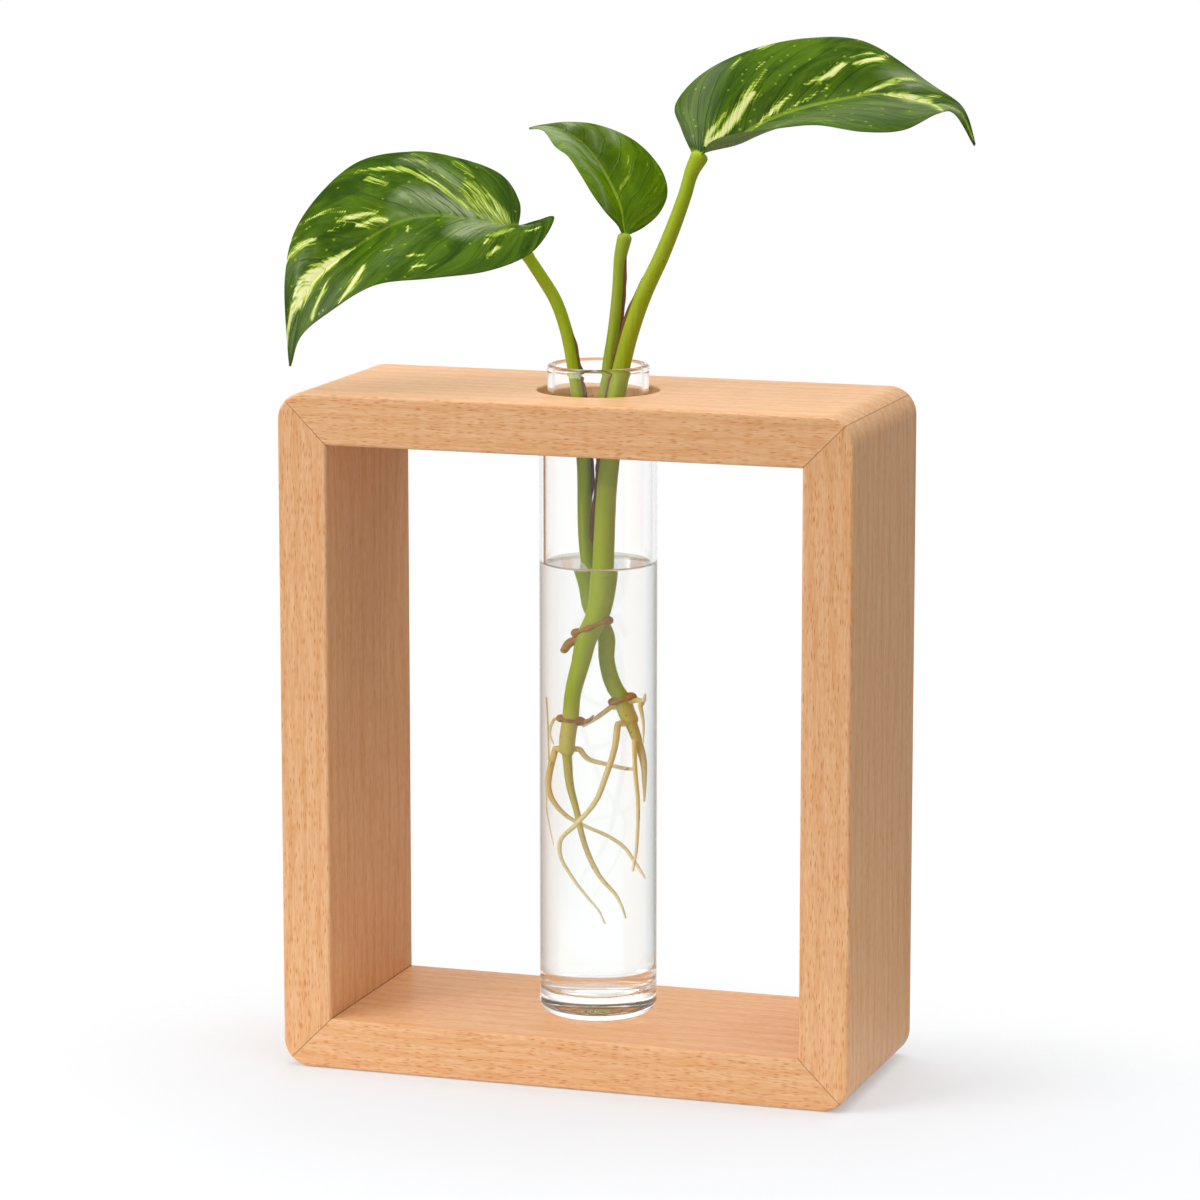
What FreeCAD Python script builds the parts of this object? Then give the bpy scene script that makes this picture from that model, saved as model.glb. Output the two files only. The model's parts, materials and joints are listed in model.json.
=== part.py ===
import FreeCAD, Part
import math
import os
import Sketcher

# A propagation vase: four mitred beech boards make an upright frame, and a glass tube
# stands on the bottom board and is held upright by a hole in the top one. The tube
# holds water and two rooted leaf cuttings. Lengths are millimetres. X runs along the
# frame, Y goes from the front to the back, Z is up, and the origin is the centre of
# the frame's foot.

Vector = FreeCAD.Vector
Rotation = FreeCAD.Rotation
Placement = FreeCAD.Placement

BACKWARDS = Vector(0, 1, 0)
UPWARDS = Vector(0, 0, 1)
DIAGONAL = math.sqrt(0.5)
MITRE_ANGLE = 45

# The driving sizes: name, value, what it is.
SIZES = [
    ("frame_width", 150.0, "frame over its two stiles"),
    ("frame_depth", 60.0, "boards from front to back"),
    ("frame_height", 174.0, "frame from foot to top"),
    ("board_thick", 13.0, "thickness of every board"),
    ("corner_round", 7.0, "radius of the frame's outer corners"),
    ("edge_round", 0.8, "softened long edges of the boards"),
    ("hole_gap", 0.4, "air round the tube in its hole"),
    ("hole_round", 0.5, "softened rims of the hole"),
    ("biscuit_length", 47.0, "joining biscuit along the mitre"),
    ("biscuit_half_width", 7.5, "how far the biscuit reaches into one board"),
    ("biscuit_thick", 4.0, "biscuit thickness"),
    ("slot_spare", 0.2, "slot wider than the biscuit"),
    ("slot_deeper", 0.5, "slot deeper than the biscuit"),
    ("cutter_radius", 50.0, "radius of the slot's round floor"),
    ("tube_outer", 15.0, "outer radius of the tube's body"),
    ("neck_outer", 12.8, "outer radius of the tube's neck"),
    ("glass_wall", 1.6, "wall of the tube"),
    ("rim_rise", 6.5, "tube's rim above the frame"),
    ("foot_thick", 6.0, "solid glass foot"),
    ("heel_round", 3.5, "rounding round the foot"),
    ("floor_round", 4.0, "rounding of the inner floor"),
    ("shoulder_round", 3.0, "bends of the shoulder"),
    ("shoulder_hide", 1.5, "shoulder starts this far inside the hole"),
    ("rim_round", 0.6, "melted rim"),
    ("water_depth", 110.6, "water above the inner floor"),
    ("water_gap", 0.3, "water kept off the glass and the roots"),
    ("root_room", 10.8, "radius that the cuttings keep within"),
    ("still_water", 17.5, "depth of water under the deepest root tip"),
    ("left_leaf_length", 80.0, "left leaf from stalk to tip along its rib"),
    ("middle_leaf_length", 45.0, "middle leaf"),
    ("right_leaf_length", 80.0, "right leaf"),
    ("leaf_thick", 0.6, "leaf blade thickness"),
    ("ring_thick", 0.9, "ridge of a leaf scar round a stem"),
    ("sheath_thick", 0.8, "dried margin along a leaf stalk"),
    ("fit_gap", 0.2, "air between pieces of a cutting"),
    ("cut_overrun", 2.0, "how far a cutter runs past the wood"),
]

# How far along its mitre, from the inner corner, a biscuit sits.
BISCUIT_SEAT_SHARE = 0.3

# How many rings of its skin a stalk, and a sheath margin, has for each row.
RINGS_PER_ROW = 2
SHEATH_RINGS_PER_ROW = 4

# How many lines across it a leaf blade's skin has for each row of its table.
BLADE_LINES_PER_ROW = 3

# The upper scar is a loop that is open at the back. It climbs by this share of the
# neck's bore radius each side of its spot, turns by these steps, and stands off its
# stem by so many gaps.
SCAR_CLIMB_SHARE = 0.23
SCAR_STEP = 30
SCAR_STEPS_EACH_SIDE = 5
SCAR_GAPS = 4

# How much thinner a sheath margin gets towards its upper end.
SHEATH_FADE_SHARE = 0.6

# The cuttings' centre lines. A row is a place and a radius: x, y and radius are shares
# of the neck's bore radius, and z is a share of the tube's height above its foot. The
# rows of a shoot run up the stem and on up its leaf's stalk, and the rows of a root run
# out from the stem.
FRONT_SHOOT_SHARES = [
    (-0.51, -0.18, 0.411, 0.137),
    (-0.50, -0.18, 0.429, 0.142),
    (-0.45, -0.18, 0.459, 0.146),
    (-0.40, -0.18, 0.501, 0.142),
    (-0.26, -0.18, 0.549, 0.164),
    (-0.15, -0.18, 0.587, 0.190),
    (0.04, -0.18, 0.621, 0.212),
    (0.16, -0.18, 0.678, 0.243),
    (0.19, -0.17, 0.732, 0.239),
    (0.26, -0.16, 0.818, 0.226),
    (0.33, -0.15, 0.862, 0.221),
    (0.50, -0.13, 0.970, 0.199),
    (0.59, -0.12, 0.998, 0.195),
    (0.81, -0.11, 1.053, 0.186),
    (1.05, -0.09, 1.100, 0.186),
    (1.53, -0.06, 1.170, 0.173),
    (2.03, -0.03, 1.257, 0.155),
    (2.21, -0.01, 1.296, 0.150),
    (2.35, 0.00, 1.314, 0.142),
]
REAR_SHOOT_SHARES = [
    (0.43, 0.34, 0.456, 0.142),
    (0.35, 0.34, 0.472, 0.142),
    (0.30, 0.33, 0.488, 0.142),
    (0.18, 0.33, 0.504, 0.137),
    (0.03, 0.32, 0.551, 0.124),
    (0.02, 0.32, 0.585, 0.142),
    (-0.08, 0.32, 0.606, 0.150),
    (-0.19, 0.32, 0.627, 0.155),
    (-0.33, 0.31, 0.663, 0.177),
    (-0.40, 0.29, 0.696, 0.186),
    (-0.42, 0.21, 0.858, 0.173),
    (-0.57, 0.16, 0.965, 0.150),
    (-0.64, 0.15, 0.993, 0.146),
    (-0.82, 0.16, 1.048, 0.142),
    (-1.06, 0.18, 1.090, 0.142),
    (-1.48, 0.21, 1.132, 0.137),
    (-1.80, 0.24, 1.161, 0.133),
    (-2.12, 0.27, 1.192, 0.119),
]
MIDDLE_PETIOLE_SHARES = [
    (0.10, 0.21, 0.800, 0.133),
    (0.00, 0.25, 0.857, 0.133),
    (0.08, 0.32, 0.964, 0.142),
    (0.13, 0.34, 0.993, 0.146),
    (0.26, 0.35, 1.048, 0.146),
    (0.35, 0.35, 1.106, 0.137),
    (0.41, 0.35, 1.161, 0.128),
    (0.50, 0.35, 1.187, 0.115),
]

# The row of each shoot where its stem ends and its leaf stalk starts, the row of both
# where the roots grow from a leaf scar, and the spot between rows of the upper scar.
FRONT_SHOOT_NODE = 9
REAR_SHOOT_NODE = 7
ROOT_NODE = 2
UPPER_NODE = 5.5

REAR_ROOT_SHARES = [
    [
        (0.10, 0.32, 0.476, 0.053),
        (-0.10, 0.27, 0.461, 0.049),
        (-0.31, 0.21, 0.448, 0.040),
    ],
    [
        (0.56, 0.32, 0.488, 0.058),
        (0.71, 0.28, 0.486, 0.053),
        (0.82, 0.18, 0.497, 0.031),
    ],
    [
        (0.70, 0.21, 0.479, 0.044),
        (0.81, 0.14, 0.454, 0.031),
        (0.85, 0.07, 0.424, 0.018),
    ],
    [
        (0.45, 0.33, 0.452, 0.102),
        (0.61, 0.27, 0.425, 0.088),
        (0.79, 0.19, 0.395, 0.071),
        (0.85, 0.13, 0.359, 0.044),
        (0.87, 0.08, 0.334, 0.022),
    ],
    [
        (0.30, 0.14, 0.453, 0.058),
        (0.28, 0.03, 0.414, 0.058),
        (0.21, -0.16, 0.379, 0.058),
        (0.05, -0.34, 0.336, 0.053),
        (-0.26, -0.41, 0.303, 0.049),
        (-0.59, -0.41, 0.272, 0.044),
        (-0.60, -0.37, 0.250, 0.040),
        (-0.41, -0.32, 0.220, 0.035),
        (-0.11, -0.25, 0.185, 0.027),
        (0.09, -0.21, 0.164, 0.022),
        (0.19, -0.19, 0.146, 0.018),
    ],
    [
        (0.63, 0.11, 0.426, 0.044),
        (0.70, 0.02, 0.380, 0.044),
        (0.81, -0.07, 0.334, 0.044),
        (0.83, -0.11, 0.299, 0.040),
        (0.80, -0.13, 0.256, 0.035),
        (0.74, -0.14, 0.228, 0.027),
    ],
]
FRONT_ROOT_SHARES = [
    [
        (-0.30, -0.10, 0.414, 0.053),
        (-0.18, -0.02, 0.399, 0.053),
        (0.12, 0.08, 0.390, 0.049),
        (0.47, 0.14, 0.383, 0.044),
        (0.64, 0.16, 0.382, 0.031),
    ],
    [
        (-0.51, -0.18, 0.408, 0.088),
        (-0.46, -0.12, 0.354, 0.071),
        (-0.35, -0.09, 0.315, 0.058),
        (-0.28, -0.07, 0.284, 0.053),
        (-0.11, -0.05, 0.241, 0.049),
        (0.08, -0.04, 0.213, 0.044),
        (0.33, -0.04, 0.189, 0.035),
        (0.45, -0.05, 0.172, 0.027),
        (0.55, -0.07, 0.154, 0.018),
    ],
    [
        (-0.72, -0.08, 0.412, 0.058),
        (-0.82, 0.02, 0.375, 0.053),
        (-0.85, 0.09, 0.353, 0.049),
        (-0.79, 0.19, 0.329, 0.044),
        (-0.55, 0.27, 0.302, 0.044),
        (-0.31, 0.28, 0.291, 0.040),
        (0.09, 0.30, 0.275, 0.040),
        (0.34, 0.28, 0.260, 0.035),
        (0.56, 0.23, 0.239, 0.031),
        (0.75, 0.18, 0.221, 0.027),
        (0.85, 0.14, 0.213, 0.018),
    ],
    [
        (-0.81, -0.11, 0.390, 0.022),
        (-0.87, -0.16, 0.364, 0.022),
        (-0.88, -0.18, 0.342, 0.018),
        (-0.88, -0.20, 0.321, 0.013),
    ],
    [
        (-0.73, -0.17, 0.459, 0.027),
        (-0.80, -0.16, 0.445, 0.027),
        (-0.81, -0.14, 0.432, 0.022),
        (-0.75, -0.20, 0.420, 0.018),
    ],
    [
        (-0.88, -0.09, 0.490, 0.016),
        (-0.85, -0.03, 0.442, 0.016),
        (-0.84, 0.05, 0.392, 0.016),
    ],
    [
        (-0.88, -0.22, 0.317, 0.013),
        (-0.82, -0.27, 0.293, 0.013),
        (-0.74, -0.32, 0.264, 0.011),
    ],
]
BRACT_SHARES = [
    (-0.17, -0.19, 0.458, 0.044),
    (-0.10, -0.19, 0.461, 0.040),
    (-0.03, -0.19, 0.468, 0.013),
]
AERIAL_ROOT_SHARES = [
    (-0.46, -0.20, 0.581, 0.062),
    (-0.51, -0.21, 0.573, 0.053),
    (-0.55, -0.21, 0.564, 0.040),
]

# The dried sheath margins: name, stalk, side of it, and the rows that it runs between.
SHEATHS = [
    ("left_sheath", REAR_SHOOT_SHARES, 1, 10.5, 13),
    ("middle_sheath", MIDDLE_PETIOLE_SHARES, 1, 3, 6),
    ("right_sheath", FRONT_SHOOT_SHARES, -1, 10, 14),
]

# The leaf blades. Each row crosses the blade from its near margin over the midrib to
# its far margin, and the rows run from the heart-shaped base to the tip. Places are
# shares of the leaf's length, from the top of its stalk. The last two numbers say how
# far the near and the far half sag (below zero) or crown between rib and margin.
LEFT_LEAF_SHARES = [
    ((0.06, 0.00, 0.01), (0.00, 0.00, 0.00), (0.02, 0.02, 0.00), 0.00, 0.00),
    ((0.16, -0.04, 0.04), (-0.04, -0.02, 0.01), (0.00, 0.09, 0.07), -0.02, 0.01),
    ((0.12, -0.13, -0.06), (-0.12, -0.05, 0.02), (-0.08, 0.14, 0.15), 0.02, 0.02),
    ((0.02, -0.26, -0.11), (-0.22, -0.09, 0.03), (-0.22, 0.13, 0.20), 0.03, 0.02),
    ((-0.14, -0.35, -0.13), (-0.32, -0.14, 0.01), (-0.36, 0.08, 0.22), 0.03, 0.02),
    ((-0.30, -0.42, -0.15), (-0.43, -0.21, -0.06), (-0.53, 0.00, 0.18), 0.02, 0.02),
    ((-0.45, -0.43, -0.24), (-0.53, -0.27, -0.14), (-0.65, -0.14, 0.02), 0.02, 0.02),
    ((-0.55, -0.41, -0.32), (-0.58, -0.32, -0.23), (-0.665, -0.25, -0.16), 0.01, 0.01),
    ((-0.596, -0.383, -0.42), (-0.60, -0.38, -0.42), (-0.604, -0.377, -0.42), 0.00, 0.00),
]
MIDDLE_LEAF_SHARES = [
    ((-0.02, -0.02, 0.02), (0.00, 0.00, 0.00), (0.02, 0.03, 0.01), 0.00, 0.00),
    ((-0.02, -0.09, 0.07), (-0.03, 0.03, 0.06), (0.07, 0.10, 0.04), 0.00, 0.01),
    ((-0.06, -0.18, 0.15), (-0.06, 0.05, 0.15), (0.14, 0.19, 0.12), 0.01, 0.02),
    ((-0.11, -0.25, 0.25), (-0.12, 0.08, 0.25), (0.16, 0.26, 0.23), 0.02, 0.03),
    ((-0.19, -0.23, 0.36), (-0.20, 0.10, 0.37), (0.10, 0.29, 0.37), 0.02, 0.03),
    ((-0.28, -0.17, 0.45), (-0.28, 0.09, 0.48), (-0.03, 0.25, 0.51), 0.02, 0.02),
    ((-0.37, -0.13, 0.50), (-0.37, 0.05, 0.56), (-0.22, 0.16, 0.60), 0.01, 0.01),
    ((-0.46, -0.07, 0.58), (-0.46, 0.01, 0.60), (-0.39, 0.06, 0.62), 0.00, 0.00),
    ((-0.55, -0.056, 0.586), (-0.55, -0.05, 0.59), (-0.55, -0.044, 0.594), 0.00, 0.00),
]
RIGHT_LEAF_SHARES = [
    ((0.01, -0.02, 0.00), (0.00, 0.00, 0.00), (-0.03, 0.00, 0.00), 0.00, 0.00),
    ((0.07, -0.09, 0.05), (0.03, 0.01, 0.02), (-0.08, 0.05, 0.07), -0.02, 0.01),
    ((0.18, -0.13, 0.08), (0.10, 0.04, 0.04), (-0.12, 0.12, 0.14), -0.02, 0.02),
    ((0.31, -0.15, 0.10), (0.18, 0.08, 0.09), (-0.06, 0.21, 0.23), -0.01, 0.03),
    ((0.42, -0.15, 0.11), (0.28, 0.10, 0.13), (0.07, 0.28, 0.30), 0.00, 0.03),
    ((0.55, -0.11, 0.09), (0.40, 0.14, 0.16), (0.25, 0.32, 0.34), 0.01, 0.03),
    ((0.65, -0.01, 0.09), (0.53, 0.17, 0.18), (0.44, 0.33, 0.33), 0.01, 0.02),
    ((0.72, 0.13, 0.13), (0.66, 0.19, 0.16), (0.66, 0.28, 0.21), 0.01, 0.01),
    ((0.76, 0.19, 0.125), (0.765, 0.215, 0.132), (0.773, 0.24, 0.14), 0.00, 0.00),
    ((0.819, 0.205, 0.027), (0.82, 0.21, 0.03), (0.821, 0.215, 0.033), 0.00, 0.00),
]

# Where each blade's base sits past the last row of its stalk, in shares of the leaf.
LEAF_BASE_SHARES = {
    "left_leaf": (-0.008, 0.000, 0.015),
    "middle_leaf": (0.008, 0.000, 0.014),
    "right_leaf": (0.006, 0.000, 0.013),
}


class Size:
    """A length with its value and the formula that binds it to the sheet."""

    def __init__(self, value, text):
        self.value = value
        self.text = text

    def __add__(self, other):
        return Size(self.value + other.value, "(%s + %s)" % (self.text, other.text))

    def __sub__(self, other):
        return Size(self.value - other.value, "(%s - %s)" % (self.text, other.text))

    def __mul__(self, factor):
        return Size(self.value * factor, "(%s * %r)" % (self.text, factor))

    def __neg__(self):
        return self * -1


ZERO = Size(0.0, "0")


def fill_sheet(doc):
    """Write the driving sizes into the sheet and return them by name."""
    sheet = doc.addObject("Spreadsheet::Sheet", "Sizes")
    sizes = {}
    for row, (name, value, meaning) in enumerate(SIZES, 1):
        sheet.set("A%d" % row, meaning)
        sheet.set("B%d" % row, str(value))
        sheet.setAlias("B%d" % row, name)
    doc.recompute()
    for name, _, _ in SIZES:
        sizes[name] = Size(float(sheet.get(name)), "Sizes.%s" % name)
    return sizes


def line(start, end):
    """Return a straight stretch of an outline."""
    return ("line", start, end, None, None)


def arc(start, end, centre, radius):
    """Return a round stretch of an outline, under half a turn."""
    return ("arc", start, end, centre, radius)


def flat_vector(point):
    """Return an outline point as a vector in its sketch."""
    return Vector(point[0].value, point[1].value, 0)


def add_arc(sketch, start, end, centre, radius):
    """Add an arc to the sketch and say which of its ends comes first."""
    middle = flat_vector(centre)
    from_vector = flat_vector(start) - middle
    to_vector = flat_vector(end) - middle
    from_angle = math.atan2(from_vector.y, from_vector.x)
    to_angle = math.atan2(to_vector.y, to_vector.x)
    circle = Part.Circle(middle, UPWARDS, radius.value)
    turns_left = from_vector.cross(to_vector).z > 0
    if turns_left:
        number = sketch.addGeometry(Part.ArcOfCircle(circle, from_angle, to_angle), False)
        return number, 1, 2
    number = sketch.addGeometry(Part.ArcOfCircle(circle, to_angle, from_angle), False)
    return number, 2, 1


def pin(sketch, kind, number, end, size):
    """Hold one coordinate of a point at its distance from the origin."""
    if size.value == 0:
        axis = -2 if kind == "DistanceX" else -1
        sketch.addConstraint(Sketcher.Constraint("PointOnObject", number, end, axis))
        return
    index = sketch.addConstraint(Sketcher.Constraint(kind, -1, 1, number, end, size.value))
    sketch.setExpression("Constraints[%d]" % index, size.text)


def draw_outline(sketch, outline):
    """Draw a closed outline whose every corner is bound to the sheet."""
    drawn = []
    for kind, start, end, centre, radius in outline:
        if kind == "line":
            edge = Part.LineSegment(flat_vector(start), flat_vector(end))
            drawn.append((sketch.addGeometry(edge, False), 1, 2))
        else:
            drawn.append(add_arc(sketch, start, end, centre, radius))
    for place, (number, first, last) in enumerate(drawn):
        following = (place + 1) % len(drawn)
        next_number, next_first, _ = drawn[following]
        sketch.addConstraint(Sketcher.Constraint("Coincident", number, last, next_number, next_first))
    for place, (kind, start, end, centre, radius) in enumerate(outline):
        number, first, last = drawn[place]
        if kind == "arc":
            pin(sketch, "DistanceX", number, 3, centre[0])
            pin(sketch, "DistanceY", number, 3, centre[1])
            index = sketch.addConstraint(Sketcher.Constraint("Radius", number, radius.value))
            sketch.setExpression("Constraints[%d]" % index, radius.text)
        round_one = (kind, centre)
        if kind == "line":
            following = outline[(place + 1) % len(outline)]
            round_one = (following[0], following[3])
        if round_one[0] == "line":
            pin(sketch, "DistanceX", number, last, end[0])
            pin(sketch, "DistanceY", number, last, end[1])
            continue
        spoke = flat_vector(end) - flat_vector(round_one[1])
        if abs(spoke.y) >= abs(spoke.x):
            pin(sketch, "DistanceX", number, last, end[0])
        else:
            pin(sketch, "DistanceY", number, last, end[1])


def new_body(doc, name):
    """Return an empty body that carries its piece's name."""
    body = doc.addObject("PartDesign::Body", name)
    body.Label = name
    return body


def new_sketch(body, plane_role, name):
    """Return a sketch that lies on one of its body's own origin planes."""
    planes = [item for item in body.Origin.OriginFeatures if item.Role == plane_role]
    sketch = body.newObject("Sketcher::SketchObject", name)
    sketch.AttachmentSupport = [(planes[0], "")]
    sketch.MapMode = "FlatFace"
    return sketch


def place(piece, base, angle):
    """Turn a piece about Y and set it down at a place bound to the sheet."""
    corner = Vector(base[0].value, base[1].value, base[2].value)
    piece.Placement = Placement(corner, Rotation(BACKWARDS, angle))
    for axis, size in zip("xyz", base):
        piece.setExpression("Placement.Base.%s" % axis, size.text)


def mitre_seat(sizes, half_length):
    """Return the biscuit's centre on the right mitre of a board, across and up."""
    along = sizes["board_thick"] * BISCUIT_SEAT_SHARE
    across = half_length - sizes["board_thick"] + along
    up = along - sizes["board_thick"]
    return across, up


def blank_outline(sizes, half_length):
    """Return a board before its mitres, outer face up and at height 0."""
    thick = sizes["board_thick"]
    corner = sizes["corner_round"]
    flat_end = half_length - corner
    inner_left = (-half_length, -thick)
    inner_right = (half_length, -thick)
    side_right = (half_length, -corner)
    top_right = (flat_end, ZERO)
    top_left = (-flat_end, ZERO)
    side_left = (-half_length, -corner)
    return [
        line(inner_left, inner_right),
        line(inner_right, side_right),
        arc(side_right, top_right, (flat_end, -corner), corner),
        line(top_right, top_left),
        arc(top_left, side_left, (-flat_end, -corner), corner),
        line(side_left, inner_left),
    ]


def mitre_outline(sizes, half_length, side):
    """Return the corner that is sawn off one end of a board."""
    over = sizes["cut_overrun"]
    inner = half_length - sizes["board_thick"] - over
    outer = half_length + over
    low = -sizes["board_thick"] - over
    toe = (inner * side, low)
    heel = (outer * side, low)
    tip = (outer * side, over)
    return [line(toe, heel), line(heel, tip), line(tip, toe)]


def face_edges(shape, half_depth):
    """Name the edges of a board's front and back faces."""
    names = []
    for number, edge in enumerate(shape.Edges, 1):
        if all(math.isclose(abs(end.Point.y), half_depth, rel_tol=1e-6) for end in edge.Vertexes):
            names.append("Edge%d" % number)
    return names


def saw_mitres(doc, body, sizes, half_length):
    """Saw both ends of a board to its mitres."""
    before = body.Shape.Volume
    sketch = new_sketch(body, "XZ_Plane", "mitre_outline")
    for side in (1, -1):
        draw_outline(sketch, mitre_outline(sizes, half_length, side))
    cut = body.newObject("PartDesign::Pocket", "mitres")
    cut.Profile = sketch
    cut.SideType = "Symmetric"
    cut.setExpression("Length", (sizes["frame_depth"] + sizes["cut_overrun"]).text)
    doc.recompute()
    if body.Shape.Volume >= before:
        raise RuntimeError("the mitres were not sawn")


def cut_slots(body, sizes, half_length):
    """Cut the round-floored biscuit slot into both mitres of a board."""
    across, up = mitre_seat(sizes, half_length)
    thick = sizes["biscuit_thick"] + sizes["slot_spare"]
    depth = sizes["biscuit_half_width"] + sizes["slot_deeper"]
    offset = (sizes["cutter_radius"] - depth) * DIAGONAL
    half_thick = thick * (DIAGONAL / 2)
    centre_across = across + offset - half_thick
    centre_up = up - offset - half_thick
    for side, angle in ((1, MITRE_ANGLE), (-1, -MITRE_ANGLE)):
        slot = body.newObject("PartDesign::SubtractiveCylinder", "slot")
        slot.setExpression("Radius", sizes["cutter_radius"].text)
        slot.setExpression("Height", thick.text)
        place(slot, (centre_across * side, ZERO, centre_up), angle)


def make_board(doc, sizes, name, length, base, angle, with_hole):
    """Make one mitred board of the frame and set it in its place."""
    half_length = length * 0.5
    half_depth = sizes["frame_depth"] * 0.5
    body = new_body(doc, name)
    sketch = new_sketch(body, "XZ_Plane", "blank_outline")
    draw_outline(sketch, blank_outline(sizes, half_length))
    pad = body.newObject("PartDesign::Pad", "board")
    pad.Profile = sketch
    pad.SideType = "Symmetric"
    pad.setExpression("Length", sizes["frame_depth"].text)
    doc.recompute()
    rounding = body.newObject("PartDesign::Fillet", "softened_edges")
    rounding.Base = (pad, face_edges(pad.Shape, half_depth.value))
    rounding.setExpression("Radius", sizes["edge_round"].text)
    doc.recompute()
    saw_mitres(doc, body, sizes, half_length)
    if with_hole:
        drill_hole(doc, body, sizes)
    cut_slots(body, sizes, half_length)
    place(body, base, angle)
    doc.recompute()
    return body


def drill_hole(doc, body, sizes):
    """Drill the tube's hole through the top rail and soften both its rims."""
    before = body.Shape.Volume
    radius = sizes["tube_outer"] + sizes["hole_gap"]
    sketch = new_sketch(body, "XY_Plane", "hole_outline")
    circle = Part.Circle(Vector(0, 0, 0), UPWARDS, radius.value)
    number = sketch.addGeometry(circle, False)
    sketch.addConstraint(Sketcher.Constraint("Coincident", number, 3, -1, 1))
    index = sketch.addConstraint(Sketcher.Constraint("Radius", number, radius.value))
    sketch.setExpression("Constraints[%d]" % index, radius.text)
    hole = body.newObject("PartDesign::Pocket", "hole")
    hole.Profile = sketch
    hole.Type = "ThroughAll"
    doc.recompute()
    drilled = math.pi * radius.value ** 2 * sizes["board_thick"].value
    if not math.isclose(before - body.Shape.Volume, drilled, rel_tol=1e-4):
        raise RuntimeError("the hole did not go through the rail")
    rims = []
    for number, edge in enumerate(hole.Shape.Edges, 1):
        is_circle = edge.Curve.TypeId == "Part::GeomCircle"
        if is_circle and math.isclose(edge.Curve.Radius, radius.value, rel_tol=1e-6):
            rims.append("Edge%d" % number)
    rounding = body.newObject("PartDesign::Fillet", "softened_rims")
    rounding.Base = (hole, rims)
    rounding.setExpression("Radius", sizes["hole_round"].text)
    doc.recompute()


def make_frame(doc, sizes):
    """Make the four boards."""
    half_width = sizes["frame_width"] * 0.5
    half_height = sizes["frame_height"] * 0.5
    top = (ZERO, ZERO, sizes["frame_height"])
    bottom = (ZERO, ZERO, ZERO)
    left = (-half_width, ZERO, half_height)
    right = (half_width, ZERO, half_height)
    boards = (
        ("top_rail", sizes["frame_width"], top, 0, True),
        ("bottom_rail", sizes["frame_width"], bottom, 180, False),
        ("left_stile", sizes["frame_height"], left, -90, False),
        ("right_stile", sizes["frame_height"], right, 90, False),
    )
    return [make_board(doc, sizes, *board) for board in boards]


def make_biscuits(doc, sizes):
    """Make the four joining biscuits, each a lens with its points cut off."""
    across, drop = mitre_seat(sizes, sizes["frame_width"] * 0.5)
    high = sizes["frame_height"] + drop
    low = -drop
    corners = (
        ("top_left_biscuit", -across, high, -MITRE_ANGLE),
        ("top_right_biscuit", across, high, MITRE_ANGLE),
        ("bottom_left_biscuit", -across, low, MITRE_ANGLE - 180),
        ("bottom_right_biscuit", across, low, 180 - MITRE_ANGLE),
    )
    return [make_biscuit(doc, sizes, *corner) for corner in corners]


def make_biscuit(doc, sizes, name, across, height, angle):
    """Make one biscuit and set it across its mitre."""
    radius = sizes["cutter_radius"]
    half_length = sizes["biscuit_length"] * 0.5
    offset = radius - sizes["biscuit_half_width"]
    reach = math.sqrt(radius.value ** 2 - half_length.value ** 2) - offset.value
    tip = Size(reach, "(sqrt(%s ^ 2 - %s ^ 2) - %s)" % (radius.text, half_length.text, offset.text))
    lower_left = (-tip, -half_length)
    lower_right = (tip, -half_length)
    upper_right = (tip, half_length)
    upper_left = (-tip, half_length)
    body = new_body(doc, name)
    sketch = new_sketch(body, "XY_Plane", "biscuit_outline")
    outline = [
        line(lower_left, lower_right),
        arc(lower_right, upper_right, (-offset, ZERO), radius),
        line(upper_right, upper_left),
        arc(upper_left, lower_left, (offset, ZERO), radius),
    ]
    draw_outline(sketch, outline)
    pad = body.newObject("PartDesign::Pad", "biscuit")
    pad.Profile = sketch
    pad.SideType = "Symmetric"
    pad.setExpression("Length", sizes["biscuit_thick"].text)
    place(body, (across, ZERO, height), angle)
    doc.recompute()
    return body


def spin(doc, name, outline, base):
    """Turn an outline once round the tube's axis to make a piece."""
    body = new_body(doc, name)
    sketch = new_sketch(body, "XZ_Plane", name + "_outline")
    draw_outline(sketch, outline)
    turn = body.newObject("PartDesign::Revolution", "turned")
    turn.Profile = sketch
    turn.ReferenceAxis = (sketch, ["V_Axis"])
    turn.Angle = 360
    place(body, base, 0)
    doc.recompute()
    return body


def tube_height(sizes):
    """Return the tube's height: it stands on the bottom board and its rim clears the top one."""
    return sizes["frame_height"] - sizes["board_thick"] + sizes["rim_rise"]


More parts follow.
